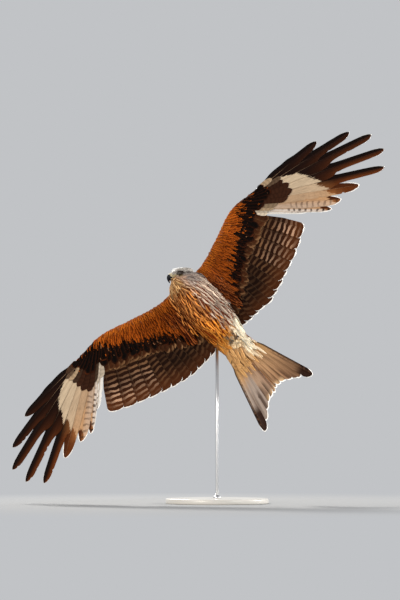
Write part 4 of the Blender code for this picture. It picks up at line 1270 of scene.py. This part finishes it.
def web_finish(name, lengthwise=60.0):
    """Webs of the long feathers: bars across them, a pale ground where the panel lies, a near
    white rim at the tip that is partly pale fringes and partly painted glow of light shining
    through, fine barbs, and the shaft."""
    web = Finish(name, 0.6, Specular_IOR_Level=0.04)
    reach, v = web.on_vane()
    seed = web.fact("seed")
    aside = abs(v * 2.0 - 1.0)

    def drawn_out(along, across):
        return web.node("CombineXYZ", 0, i0=reach * along, i1=v * across, i2=seed)

    threads = drawn_out(lengthwise, 30.0)
    ragged = web.noise(1.0, 4.0, threads) - 0.5
    bend = ragged * 0.22 + web.noise(1.0, 1.0, drawn_out(30.0, 2.2)) * 0.9 + seed
    phase = (aside * 0.012 + reach) / web.fact("period") + bend
    wave = web.sum("COSINE", phase * (2 * math.pi))
    bar = web.ramp(wave - web.fact("gap"), -0.18, 0.18)
    bar = web.sum("MULTIPLY", bar, web.fact("bars"), clamp=True)
    ground = web.mix(bar, web.colour("ground"), web.colour("mark"))
    pale = web.mix(bar * 0.85, web.colour("pale"), web.colour("dark"))
    colour = web.mix(web.ramp(ragged * 2.6 + web.fact("panel"), -0.22, 0.22), ground, pale)
    barbs = web.sum("SINE", reach * 4200.0 - aside * 60.0)
    light = barbs * 0.05 + web.noise(0.35, 2.0, threads) * 0.5 + ragged * 0.5 + 0.75
    colour = web.node("VectorMath", 0, {"operation": "SCALE"}, i0=colour, Scale=light * feather_depth)
    quill = web.ramp(web.fact("shaft"), 0.35, 0.75) * 0.75
    colour = web.mix(quill, colour, web.colour("quill"))
    # Tips and edges turn near white: partly pale fringes, partly painted glow of light shining through.
    rim = web.fact("fringe") * (web.noise(120.0, 3.0) * 1.2 + 0.4) - web.fact("edge_gap")
    web.set(Base_Color=web.mix(web.ramp(rim, 0.0, 0.0008), colour, paint(255, 252, 246)))
    web.bump(0.2, 0.0003, barbs)
    return web


# Markings below: blackish fingers that turn rusty, a white panel at the foot of the
# primaries, barred secondaries with rusty tips; above all of them are dark.
finger_dark, finger_rust = paint(28, 13, 8), paint(112, 56, 22)
finger_front, finger_glow = paint(17, 11, 10), paint(188, 124, 72)
secondary_dark, secondary_rust = paint(42, 20, 8), paint(98, 52, 24)
secondary_deep = paint(24, 10, 4)
secondary_bar, secondary_pale = paint(146, 104, 70), paint(216, 170, 136)
panel_white, panel_buff = paint(224, 200, 168), paint(222, 170, 122)
# The near white of the inner primaries' rear webs is painted glow of light shining through them.
panel_backlit_white, panel_tan, panel_bar = paint(255, 252, 246), paint(194, 152, 114), paint(62, 40, 28)
above_dark, above_rust, above_bar = paint(46, 33, 26), paint(84, 58, 40), paint(30, 22, 18)
quill_dark, quill_pale = paint(36, 24, 18), paint(186, 150, 116)
# For each primary from the wrist out: where its panel ends, how tan and buff the panel is,
# how far painted glow of light shining through whitens its rear web, how it glows past the
# end, how rusty its finger is, and where its bars start and how bold.
panel_ends = (0.212, 0.246, 0.268, 0.286, 0.262, 0.226, 0.200, 0.160, 0.100, 0.020)
tan_shares = (0.3, 0.6, 0.95, 0.95, 0.7, 0.35, 0.1, 0.0, 0.0, 0.0)
buff_shares = (0, 0.8, 0.8, 0.8, 0.8, 0, 0, 0, 0, 0)
backlit_shares = (1.0, 0.95, 0.6, 0.2, 0, 0, 0, 0, 0, 0)
glow_shares = (0, 1, 1, 1, 0.8, 0.45, 0, 0, 0, 0)
rust_shares = (0, 0, 0, 0, 0, 0.95, 0.75, 0.50, 0.28, 0.15)
bar_starts = (0.58, 0.52, 0.40) + (0.38,) * 7
bar_shares = (0.8, 1.0, 1.0, 0.6, 0.1, 0, 0, 0, 0, 0)
no_panel = -5.0
panel_blur, panel_wobble = 0.018, 0.006
primary_bar_step, secondary_bar_step, covert_bar_step = 0.0205, 0.0185, 0.015
# Widths of the near white tips: pale fringes with painted glow of the light behind.
blunt_fringe_glow, finger_fringe_glow, secondary_fringe_glow = 0.0034, 0.0010, 0.0050
top_finger_fringe_glow, top_fringe_glow = 0.0008, 0.0014
web_paints = ("ground", "mark", "pale", "dark", "quill")
plain_web = {"panel": no_panel, "pale": (0, 0, 0), "dark": (0, 0, 0), "fringe": 0.0}


def both_sides(place, below, above):
    """Facts of a feather, each side's where it belongs; the upper side is like the underside
    in what above leaves out."""
    facts = {}
    for name, low in {**plain_web, **below}.items():
        under = place["under"][..., None] if name in web_paints else place["under"]
        high = np.asarray(above.get(name, low), float)
        facts[name] = high + (np.asarray(low, float) - high) * under
    return facts


def primary_look(k, seed, reach_of_hand):
    """Primary k, from 0 at the wrist to 9 at the front edge."""
    finger = k >= primaries - fingers

    def look(place):
        t, w, reach = place["t"], place["w"], place["reach"]
        rust = ease(0.05, 0.8, w) * rust_shares[k] * ease(0.35, 0.75, t)
        rust = rust if finger else 0.55 + 0.45 * ease(-0.3, 0.6, w)
        end = panel_ends[k] * reach_of_hand + panel_wobble * np.sin(7.3 * seed)
        glow = ease(0.085, 0.0, reach - end) * ease(-0.2, 0.7, w) * glow_shares[k]
        ground = painted(finger_dark, (finger_rust, rust),
                         (finger_front, ease(-0.2, -0.8, w) * (1 if finger else 0.3)),
                         (finger_glow, glow))
        panel = (end - reach) / panel_blur + np.where(w > 0, 2.2 * w, 1.8 * w * (k > 4))
        # Over the pale panel, the rear web of the inner primaries is whitened as painted glow of the
        # light behind.
        pale = painted(panel_white, (panel_tan, tan_shares[k]),
                       (panel_buff, buff_shares[k] * ease(0.45, 0.9, t)),
                       (panel_backlit_white, backlit_shares[k] * ease(0.05, 0.55, w)))
        bars = ease(0.00, 0.25, w) * ease(1.25, 0.45, w) * bar_shares[k]
        bars = bars * ease(bar_starts[k], bar_starts[k] + 0.16, t)
        bars = bars * (ease(0.30, 0.12, w) if k == 0 else 1)
        quill = ease(0.2, 0.6, t) if finger else 0.3 * t
        below = {"ground": ground, "mark": finger_dark, "bars": bars, "gap": 0.42,
                 "period": primary_bar_step, "panel": no_panel if k == 9 else panel, "pale": pale,
                 "dark": panel_bar, "seed": seed, "quill": blend(quill_pale, quill_dark, quill),
                 "fringe": (finger_fringe_glow if finger else blunt_fringe_glow) * ease(0.80, 0.97, t)}
        above = {"ground": blend(above_dark, above_rust, 0.5 * ease(0.2, 1.0, w)), "gap": 0.2,
                 "panel": no_panel, "mark": above_bar, "bars": 0.5 * ease(0.0, 0.4, w),
                 "fringe": top_finger_fringe_glow * ease(0.80, 0.97, t), "quill": quill_dark}
        return both_sides(place, below, above)
    return look


def secondary_look(k, seed):
    """Secondary k, from 0 at the wrist to the innermost."""
    share = k / (secondaries - 1)

    def look(place):
        t, w = place["t"], place["w"]
        tip = ease(0.62, 0.95, t)
        deep = 0.8 * ease(0.15, 0.6, share) * (1 - 0.7 * tip)
        ground = painted(secondary_dark, (secondary_rust, tip * (0.9 - 0.4 * share)),
                         (secondary_deep, deep))
        bars = (0.95 - 0.70 * ease(0.10, 0.5, share)) * (0.25 + 0.75 * ease(0.0, 0.5, w))
        bars = bars * (0.7 + 0.3 * np.sin(seed * 5 + t * 7))
        bars = bars * ease(0.25, 0.45, t) * (1 - 0.8 * ease(0.84, 0.94, t))
        bar = blend(secondary_bar, secondary_pale, (k < 4) * ease(0.40, 0.75, t))
        edge = ease(0.92, 0.985, t)
        below = {"ground": ground, "mark": bar, "bars": bars, "gap": 0.30, "seed": seed,
                 "period": secondary_bar_step, "fringe": secondary_fringe_glow * edge,
                 "quill": blend(quill_dark, quill_pale, 0.35 * t)}
        above = {"ground": blend(above_dark, above_rust, 0.6 * tip), "mark": above_bar, "gap": 0.2,
                 "bars": 0.5 * ease(0.0, 0.4, w), "fringe": top_fringe_glow * edge, "quill": quill_dark}
        return both_sides(place, below, above)
    return look


greater_ground, greater_tip = paint(72, 38, 18), paint(176, 130, 88)
hand_brown, hand_cream, hand_white = paint(58, 32, 19), paint(208, 178, 142), paint(226, 208, 184)
median_ground, median_rim = paint(11, 5, 3), paint(88, 40, 15)
upper_greater = paint(62, 44, 32), paint(150, 112, 76)
upper_median = paint(128, 88, 56), paint(214, 178, 132)
median_shares = (0.42, 0.58)
greater_varied, median_varied = 0.08, 0.16


def covert_look(ground, tip, root, above, seed, tip_share, rim, draw):
    """A covert with a paler tip and root, and the ground and tip of the ones above. No two
    are quite alike in depth, or in how much of the tip is pale."""
    tone = draw.uniform(0.72, 1.25)
    tip_share = tip_share * draw.uniform(0.5, 1.5)
    slant = draw.normal(0, 0.05)
    rim = rim * draw.uniform(0.2, 1.4)
    shown = draw.uniform(0.15, 1.0)

    def look(place):
        t, w = place["t"], place["w"]
        ends = ease(1 - tip_share, 1.0, t + 0.05 * np.abs(w) + slant * w) * shown
        edges = np.clip(rim * ease(0.55, 1.0, np.abs(w)), 0, 1)
        below = painted(ground, (tip, ends), (root, ease(0.62, 0.35, t)), (tip, edges)) * tone
        top = blend(*above, ends) * tone
        lower = {"ground": below, "mark": below * 0.55, "bars": 0.45, "gap": 0.2,
                 "period": covert_bar_step, "seed": seed, "quill": below * 0.5}
        return both_sides(place, lower, {"ground": top, "mark": top * 0.6, "quill": top * 0.5})
    return look


def lay_coverts(coat, surface, row, tips, layer, looks, cells, draw, varied):
    """A row of coverts, all of one shape."""
    lay_row(coat, surface, row, [covert_vane] * len(row), covert_widths, tips, layer, covert_thick,
            looks, cells, draw, varied)


web = web_finish("flight_feathers")
shares = np.arange(secondaries) / (secondaries - 1)
for side, name in left_and_right:
    draw = np.random.default_rng(23 + side)

    def surface(x, y, n):
        return wing_surface(side, x, y, n)

    hand = primary_shafts(side)
    arm = secondary_shafts()
    shafts = hand + arm
    flight = Coat()
    blunt = primaries - fingers
    outlines = [finger_vane] * fingers + [blunt_vane] * (blunt - 1)
    outlines += [narrow_vane if side > 0 else inner_vane] + [flight_vane] * secondaries
    tips = [finger_tip] * fingers + [blunt_tip] * blunt + [flight_tip] * secondaries
    looks = [primary_look(9 - k, k + 0.5, hand_reach[side]) for k in range(primaries)]
    looks += [secondary_look(k, k + 20.5) for k in range(secondaries)]
    lay_row(flight, surface, shafts, outlines, flight_widths, tips, 0.0, flight_thick, looks,
            map_cells(len(shafts), 11), draw)
    flight.make("flight_feathers_" + name, web, "flight_feathers", "wing_%s_hand" % name)

    coverts = Coat()
    on_hand = np.array(primary_coverts[side][::-1]) * covert_reach[side]
    greater, median = (doubled(shortened(arm, np.interp(shares, (0, 0.5, 1), lengths)))
                       for lengths in (greater_coverts, median_coverts))
    greater = shortened(hand, on_hand) + greater
    inner = len(greater) - primaries
    tips = [hand_covert_tip] * primaries + [covert_tip] * inner
    cells = map_cells(4 * len(shafts) + 6 * len(arm), 16)
    for face in (-1, 1):
        looks = []
        for k in range(primaries):
            ground = blend(hand_white if k > 7 else hand_cream, hand_brown, browns[side][k])
            looks.append(covert_look(ground, ground * 1.1, ground, upper_greater, k * 3.1 + face,
                                     0.2, 0.2, draw))
        looks += [covert_look(greater_ground, greater_tip, greater_ground * 0.7, upper_greater,
                              k * 2.7 + face, 0.07, 0.22, draw) for k in range(primaries, len(greater))]
        lay_coverts(coverts, surface, greater, tips, face * greater_tier, looks, cells, draw,
                    greater_varied)
        short = on_hand * np.linspace(*median_shares, primaries)
        for row in (shortened(hand, short), median):
            looks = [covert_look(median_ground, median_rim, median_ground, upper_median,
                                 k * 2.3 + face, 0.10, 0.30, draw) for k in range(len(row))]
            lay_coverts(coverts, surface, row, [covert_tip] * len(row), face * median_tier, looks,
                        cells, draw, median_varied)
    coverts.make("wing_coverts_" + name, web, "flight_feathers", "wing_%s_arm" % name)


# The tail. Twelve feathers, longest at the outside so that it is forked, fan from a flat
# root of flesh; it is twisted as a rudder, and short coverts cover its root on both sides.
tail_lengths = (0.263, 0.233, 0.209, 0.196, 0.189, 0.186)
tail_pairs = len(tail_lengths)
tail_uneven = 0.022
tail_spread = (0.0525, 0.0043)
tail_angles = (20.0, 1.5)
tail_widths = (0.013, 0.020)
tail_coverts = (0.046, 0.062)
tail_inset = 0.020
tail_droop = 0.6
tail_round, tail_covert_tip = 0.030, 0.026
tail_bar_step = 0.021
# Width of the near white tip of the tail feathers: pale fringe with painted glow of the light behind.
tail_fringe_glow = 0.0058
tail_coverts_varied = 0.25
tail_ground, tail_shade = paint(206, 160, 116), paint(172, 130, 96)
tail_corner, tail_line = paint(50, 28, 18), paint(30, 18, 12)
tail_grey, tail_seam = paint(176, 158, 144), paint(118, 64, 30)
tail_top, tail_top_dark = paint(188, 106, 50), paint(70, 40, 24)
tail_bar, tail_pale_tip = paint(98, 68, 50), paint(238, 196, 148)
tail_quill = paint(190, 150, 100), paint(120, 84, 56)


def tail_look(side, k, seed):
    """Tail feather k, from 0 at the outside to the middle pair."""
    outer = k == 0
    right = side < 0
    start = 0.60 if right else 0.68
    corner = 1.0 if outer else 0.9 if k in (2, 3, 4) and right else 0.3

    def look(place):
        t, w = place["t"], place["w"]
        half_way = ease(0.2, 0.5, t)
        streak = np.sin(w * 7 + seed * 2.1) * (0.5 + 0.5 * np.sin(t * 9 + seed))
        ground = painted(
            tail_ground, (tail_shade, ease(0.3, 1.0, t)),
            (tail_grey, (0.95 if k < 3 else 0.4) * right * half_way),
            (tail_bar, (0.6 if right else 0.85) * ease(0.0, 0.9, streak) * half_way),
            (undertail[0, 0], ease(0.42, 0.12, t + 0.03 * k)),
            (tail_pale_tip, ease(0.84, 0.94, t) * (k > 2) * ease(-0.5, 0.4, w)),
            (tail_bar, 0 if right or k > 2 else (0.6 - 0.2 * k) * ease(0.2, 0.7, t)),
            (tail_seam, 0.8 * (k > 4) * ease(0.15, 0.4, t) * ease(0.7, -0.1, w)),
            (tail_corner, corner * ease(start, start + 0.16, t) * (outer or ease(0.8, 0.1, w))),
            (tail_line, ease(-0.40, -0.66, w) * outer))
        end = ease(0.86, 0.98, t)
        below = {"ground": ground, "mark": tail_bar, "gap": 0.45, "period": tail_bar_step, "seed": seed,
                 "bars": 0.6 * outer * ease(0.15, 0.4, t) * ease(0.2, -0.3, w),
                 "fringe": tail_fringe_glow * end * (0.6 if outer else 1.0), "quill": blend(*tail_quill, t)}
        top = blend(tail_top, tail_top_dark, ease(0.86, 0.97, t) * (0.9 if k < 2 else 0.3))
        above = {"ground": top, "mark": tail_top_dark, "bars": 0.14, "fringe": top_fringe_glow * end,
                 "quill": tail_top_dark}
        return both_sides(place, below, above)
    return look


tail_web = web_finish("tail_feathers", 14.0)
tail = Coat()
over_root = Coat()
draw = np.random.default_rng(31)
cells = map_cells(2 * tail_pairs, 6)
covert_cells = map_cells(8 * tail_pairs, 8)
for side in (1, -1):
    def surface(x, y, n):
        flat = np.stack([x, side * np.maximum(y, 0.0002), n - tail_droop * y * y], axis=-1)
        return moved(tail_frame, flat)

    shafts = []
    for k, length in enumerate(tail_lengths):
        share = k / (tail_pairs - 1)
        angle = math.radians(between(*tail_angles, share))
        root = (-tail_inset, between(*tail_spread, share))
        shafts.append((root, (-math.cos(angle), math.sin(angle)), length * (1 - side * tail_uneven)))
    looks = [tail_look(side, k, 41 + side * (k + 1)) for k in range(tail_pairs)]
    lay_row(tail, surface, shafts, [flight_vane] * tail_pairs, tail_widths,
            [tail_round] * tail_pairs, 0.0, flight_thick, looks, cells, draw)
    row = doubled(shortened(shafts, np.linspace(*tail_coverts, tail_pairs)))[1:]
    for face in (-1, 1):
        looks = [covert_look(undertail[1, 0], undertail[0, 0], undertail[0, 0],
                             (tail_top, rump[0, 0]), 60 + (k + 1) * 1.7 + side, 0.5, 0.8, draw)
                 for k in range(len(row))]
        lay_coverts(over_root, surface, row, [tail_covert_tip] * len(row), face * greater_tier,
                    looks, covert_cells, draw, tail_coverts_varied)
tail.make("tail_feathers", tail_web, "tail_feathers", "tail")
over_root.make("tail_coverts", tail_web, "tail_feathers")


# The eyes. Each is one glass ball in its socket, with a dark olive brown iris and a black
# pupil painted behind the clear front, and a ring of bare dark skin for the lid.
gaze_line = Vector((0.18, 1.0, -0.05)).normalized()
eye_radius = 0.0076
pupil_edge, iris_edge = 0.0031, 0.0054
cornea_width, cornea_rise = 0.45, 0.0004
lid_radius, lid_thick, lid_out = 0.0068, 0.0012, 0.0042
lid_flat = 0.9
lid_length, lid_round = 48, 10
around_eye = 48


def set_on_head(name, mesh, finish, slot, *nodes):
    """Puts a piece made in the head's frame in its place."""
    mesh.transform(head_frame)
    set_piece(name, mesh, finish, slot, *nodes)


glass = Finish("eye_glass", 0.05, Coat_Weight=0.35, Coat_Roughness=0.02)
from_gaze = glass.fact("from_gaze")
iris = glass.mix(glass.noise(1800.0, 2.0), paint(46, 34, 16), paint(78, 62, 32))
iris = glass.mix(glass.ramp(from_gaze, iris_edge - 0.0012, iris_edge), iris, paint(32, 24, 14))
pupil = glass.ramp(from_gaze, pupil_edge + 0.0002, pupil_edge - 0.0002)
glass.set(Base_Color=glass.mix(pupil, iris, paint(6, 6, 7)))
lid_skin = Finish("lid_skin", 0.5, Base_Color=paint(52, 44, 38))

lids = []
for side, name in left_and_right:
    gaze = Vector((gaze_line.x, side * gaze_line.y, gaze_line.z))
    across = gaze.cross(Vector((0, 0, 1))).normalized()
    upwards = across.cross(gaze)
    gaze, across, upwards = (np.array(way) for way in (gaze, across, upwards))
    centre = eye_place * (1, side, 1)
    turn = np.linspace(0.02, np.pi - 0.02, 40)
    radius = eye_radius + np.exp(-(turn / cornea_width)**2) * cornea_rise
    middles = centre + np.outer(radius * np.cos(turn), gaze)
    size = (radius * np.sin(turn))[:, None]
    ball = shell("eye_" + name, ovals(middles, size * across, size * upwards, around_eye))
    away = mesh_points(ball) - centre
    along = away @ gaze
    off_axis = np.linalg.norm(away - np.outer(along, gaze), axis=1)
    point_fact(ball, "from_gaze", np.where(along > 0, off_axis, 1.0))
    set_on_head("eyeball_" + name, ball, glass, "eye_glass", "eye_" + name)
    around = np.linspace(0, 2 * np.pi, lid_length + 1)[:-1]
    rim = np.outer(np.cos(around), across) + np.outer(np.sin(around), upwards) * lid_flat
    section = 2 * np.pi * np.arange(lid_round) / lid_round
    points = (centre + gaze * lid_out + rim[:, None] * (lid_radius + lid_thick * np.cos(section))[:, None]
              + gaze * (lid_thick * np.sin(section))[:, None])
    faces = []
    for i in range(lid_length):
        row = i * lid_round
        ahead = (i + 1) % lid_length * lid_round
        for j in range(lid_round):
            after = (j + 1) % lid_round
            faces.append((row + j, row + after, ahead + after, ahead + j))
    ring = bpy.data.meshes.new("lid")
    ring.from_pydata(points.reshape(-1, 3).tolist(), [], faces)
    lids.append(ring)
set_on_head("lids", joined("lids", lids), lid_skin, "head_feathers")


# The bill. The upper half is a smooth dark horn hook that grows out of a bare pale cere with
# the nostrils in it; the lower half shuts inside its edges, and a yellow flange lines the mouth.
upper_bill = (
    (0.0200, 0.0000, 0.0092, 0.0090),
    (0.0266, -0.0008, 0.0092, 0.0088),
    (0.0315, -0.0016, 0.0092, 0.0080),
    (0.0360, -0.0040, 0.0084, 0.0066),
    (0.0391, -0.0085, 0.0067, 0.0050),
    (0.0405, -0.0140, 0.0046, 0.0034),
    (0.0402, -0.0195, 0.0028, 0.0020),
    (0.0390, -0.0250, 0.0009, 0.0008),
)
lower_bill = (
    (0.0200, -0.0146, 0.0042, 0.0080),
    (0.0266, -0.0146, 0.0039, 0.0074),
    (0.0300, -0.0149, 0.0036, 0.0064),
    (0.0335, -0.0153, 0.0034, 0.0048),
    (0.0362, -0.0156, 0.0018, 0.0024),
)
bill_fullness = 2.2
mouth_line = ((0.0310, 0.0064), (0.0240, 0.0112), (0.0170, 0.0162), (0.0110, 0.0196))
mouth_height = -0.0112
nostril = np.array((0.0302, 0.0084, 0.0016))
nostril_size = (0.0016, 0.004, 0.0011)
nostril_depth = 0.0011
cere_end, cere_edge = 0.0296, 0.0006
cere_slant = 0.75
around_bill = 48


def bill_rings(table, count):
    """Rings square to the bowed middle line of one half of the bill."""
    x, height, half_depth, half_width = follow(numbered(table), np.linspace(0, len(table) - 1, count)).T
    zero = np.zeros_like(x)
    middles = np.stack([x, zero, height], axis=1)
    along = unit(np.gradient(middles, axis=0))
    upwards = np.stack([-along[:, 2], zero, along[:, 0]], axis=1) * half_depth[:, None]
    across = np.stack([zero, half_width, zero], axis=1)
    return ovals(middles, across, upwards, around_bill, bill_fullness)


horn = Finish("bill_horn", 0.55, Specular_IOR_Level=0.12)
grain = horn.noise(600.0, 4.0)
tone = horn.mix(grain, paint(11, 12, 17), paint(26, 28, 36))
tone = horn.mix(horn.ramp(horn.fact("reach"), 0.55, 0.25), tone, paint(40, 42, 46))
cere = horn.mix(grain, paint(162, 150, 118), paint(204, 192, 160))
tone = horn.mix(horn.fact("cere"), tone, cere)
# The nostrils are painted dark, as painted shade inside their holes.
horn.set(Base_Color=horn.mix(horn.fact("nostril_shade"), tone, paint(30, 24, 18)))
horn.bump(0.12, 0.0003, grain)

for name, table, count in (("upper", upper_bill, 90), ("lower", lower_bill, 50)):
    mesh = shell("bill_" + name, bill_rings(table, count))
    points = mesh_points(mesh)
    # Where the nostrils are dented in and painted dark as shade.
    nostril_shade = np.zeros(len(points))
    bare_skin = ease(0.0290, 0.0270, points[:, 0])
    if name == "upper":
        for side in (1, -1):
            spot = (points - nostril * (1, side, 1)) / nostril_size
            near = np.clip(1 - np.linalg.norm(spot, axis=1), 0, 1)
            nostril_shade = np.maximum(nostril_shade, ease(0.05, 0.5, near))
            points[:, 1] -= side * ease(0.0, 0.6, near) * nostril_depth
        mesh.vertices.foreach_set("co", points.ravel())
        wavy = points[:, 0] + 0.0012 * np.sin(points[:, 2] * 700)
        above = np.clip(points[:, 2] + 0.0035, -0.0080, 0.0100)
        bare_skin = ease(cere_end + cere_edge, cere_end - cere_edge, wavy - cere_slant * above)
    reach = (points[:, 0] - 0.0266) / 0.014 * 0.5 + ease(-0.004, -0.022, points[:, 2]) * 0.5
    for fact, values in (("cere", bare_skin), ("reach", reach), ("nostril_shade", nostril_shade)):
        point_fact(mesh, fact, values)
    set_on_head("bill_" + name, mesh, horn, "bill_horn", "beak_" + name)

flange = Finish("gape_flange", 0.45, Base_Color=paint(176, 146, 74))
flanges = []
for side in (1, -1):
    at = np.linspace(0, len(mouth_line) - 1, 24)
    line = follow(numbered((x, side * y, mouth_height) for x, y in mouth_line), at)
    size = np.interp(at, (0, 1.5, 3), (0.0013, 0.0015, 0.0008))
    flanges.append(shell("flange", tube_rings(line, size, 12)))
set_on_head("gape_flanges", joined("gape_flanges", flanges), flange, "bill_horn")


# The feet. They are drawn back under the vent with the toes shut; the shins and toes are in
# yellowish brown scales with dark seams, and every toe ends in a black claw.
shin_shape = (
    (-0.070, 0.026, 0.0058),
    (-0.084, 0.0225, 0.0050),
    (-0.098, 0.018, 0.0040),
    (-0.110, 0.0140, 0.0036),
    (-0.120, 0.0115, 0.0040),
)
shin_gaps = ((-0.120, -0.112, -0.098, -0.070), (0.0105, 0.0010, -0.0080, -0.0120))
around_shin, around_toe, around_claw = 20, 16, 12
toe_radius = 0.0033
toe_curl = 0.0094
toe_turn = (-35.0, 200.0)
toe_angles = (-34.0, 0.0, 34.0, 180.0)
knuckle_step = 0.22
claw_start = 0.64
claw_sizes = ((claw_start, claw_start + 0.08, 1.0), (0.0024, 0.0021, 0.0003))
foot_voxel = 0.0006
upright = np.array((0.0, 0.0, 1.0))


def toe_line(foot, side, spread, t):
    """Places along one curled toe."""
    outwards = np.array((-math.cos(spread), math.sin(spread) * side, 0.0))
    centre = foot + outwards * (toe_curl * 0.63) - upright * (toe_curl * 0.55)
    turn = np.radians(between(*toe_turn, t))
    reach = toe_curl * (1 - 0.35 * t)
    return centre + outwards * (np.sin(turn) * reach)[:, None] + upright * (np.cos(turn) * reach)[:, None]


scales = Finish("leg_scales", 0.5)
edges = scales.node("TexVoronoi", "Distance", {"feature": "DISTANCE_TO_EDGE"},
                    Vector=scales.place(), Scale=620.0)
seam = scales.ramp(edges, 0.0, 0.12)
tone = scales.mix(scales.noise(160.0, 2.0), paint(124, 88, 44), paint(166, 128, 74))
scales.set(Base_Color=scales.mix(seam, paint(58, 38, 22), tone))
scales.bump(0.6, 0.0004, seam)
claw_horn = Finish("claw_horn", 0.25, Base_Color=paint(24, 22, 23), Coat_Weight=0.3)

for side, name in left_and_right:
    x, y, radius = np.array(shin_shape).T
    line = np.stack([x, side * y, belly(x, y) - radius - np.interp(x, *shin_gaps), radius], axis=1)
    shin = follow(numbered(line), np.linspace(0, len(line) - 1, 26))
    parts = [shell("shin", tube_rings(shin[:, :3], shin[:, 3], around_shin))]
    claws = []
    for angle in np.radians(toe_angles):
        t = np.linspace(0, claw_start + 0.06, 22)
        size = toe_radius * (1 - 0.25 * t) * (1 + 0.10 * np.cos(t * 2 * np.pi / knuckle_step))
        line = toe_line(shin[-1, :3], side, angle, t)
        parts.append(shell("toe", tube_rings(line, size, around_toe)))
        t = np.linspace(claw_start, 1.0, 14)
        line = toe_line(shin[-1, :3], side, angle, t)
        claws.append(shell("claw", tube_rings(line, np.interp(t, *claw_sizes), around_claw)))
    foot = one_hide("foot", parts, foot_voxel, 2)
    set_piece("foot_" + name, foot.data, scales, "leg_scales", "leg_" + name)
    bpy.data.objects.remove(foot)
    set_piece("claws_" + name, joined("claws_" + name, claws), claw_horn, "leg_scales")


# The skin's look. It takes the colours of the feathers that grow there, darkened as painted
# shade under the coat, so that nothing pale shows between them.
skin_shade_under_coat = 0.75
body_centre_share, wing_centre_share = 0.45, 0.55
draw = np.random.default_rng(2)
whole_normals = mesh_points(whole, "normal")
tint = between(*body_colours(skin_points, whole_normals, draw)[0], body_centre_share)
share_of_wing = on_wing(skin_points)[:, None]
for side in (1, -1):
    of_side = (skin_points[:, 1:2] * side > 0) * share_of_wing
    look = wing_colours(side, skin_points, whole_normals, draw)[0]
    covert_tint = between(*look, wing_centre_share)
    tint = tint * (1 - of_side) + covert_tint * of_side
point_fact(whole, "tint", tint * skin_shade_under_coat)
hide_paint = Finish("hide", 0.85)
hide_paint.set(Base_Color=hide_paint.colour("tint"))
whole.transform(pose)
whole.shade_smooth()
whole.materials.clear()
whole.materials.append(hide_paint.material)
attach(skin, "root")


# The stand. A turned and lacquered disc carries a bright steel rod, held by a small collar,
# that ends in a socket in the flank.
base_profile = (
    (0.0, 0.172), (0.0012, 0.1742), (0.004, 0.175), (0.0128, 0.175), (0.0158, 0.1742),
    (0.0174, 0.1722), (0.0180, 0.169), (0.0180, 0.150), (0.0177, 0.1485), (0.0180, 0.147),
    (0.0180, 0.060), (0.0180, 0.004))
rod_profile = ((0.0180, 0.0049), (0.0190, 0.0050), (0.545, 0.0050))
collar_profile = ((0.0178, 0.0125), (0.0200, 0.0130), (0.0240, 0.0124), (0.0262, 0.0086),
                  (0.0290, 0.0066), (0.0300, 0.0052))

lacquer = Finish("stand_lacquer", 0.38, Base_Color=paint(206, 203, 196), Coat_Weight=0.4)
lacquer.bump(0.05, 0.0003, lacquer.noise(260.0, 2.0))
steel = Finish("stand_steel", 0.28, Base_Color=paint(206, 207, 208), Metallic=1.0)
for name, profile, sides, finish, slot, nodes in (
        ("stand_disc", base_profile, 128, lacquer, "stand_lacquer", ("stand_base",)),
        ("stand_upright", rod_profile, 32, steel, "stand_steel", ("stand_rod",)),
        ("stand_collar", collar_profile, 48, steel, "stand_steel", ())):
    rows = []
    for low, high in zip(profile[:-1], profile[1:]):
        rows += [low, lerp_place(low, high, 0.5)]
    height, radius = np.array(rows + [profile[-1]]).T
    east = np.outer(radius, (1.0, 0.0, 0.0))
    north = np.outer(radius, (0.0, 1.0, 0.0))
    mesh = shell(name, ovals(np.outer(height, upright), east, north, sides))
    set_piece(name, mesh, finish, slot, *nodes, by=as_it_stands)


# The sizes of the mount, before and after it is dressed, gathered in one table.
lowest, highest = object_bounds()
sizes = {"cad_box": cad_box, "dressed_box": [list(lowest), list(highest)]}
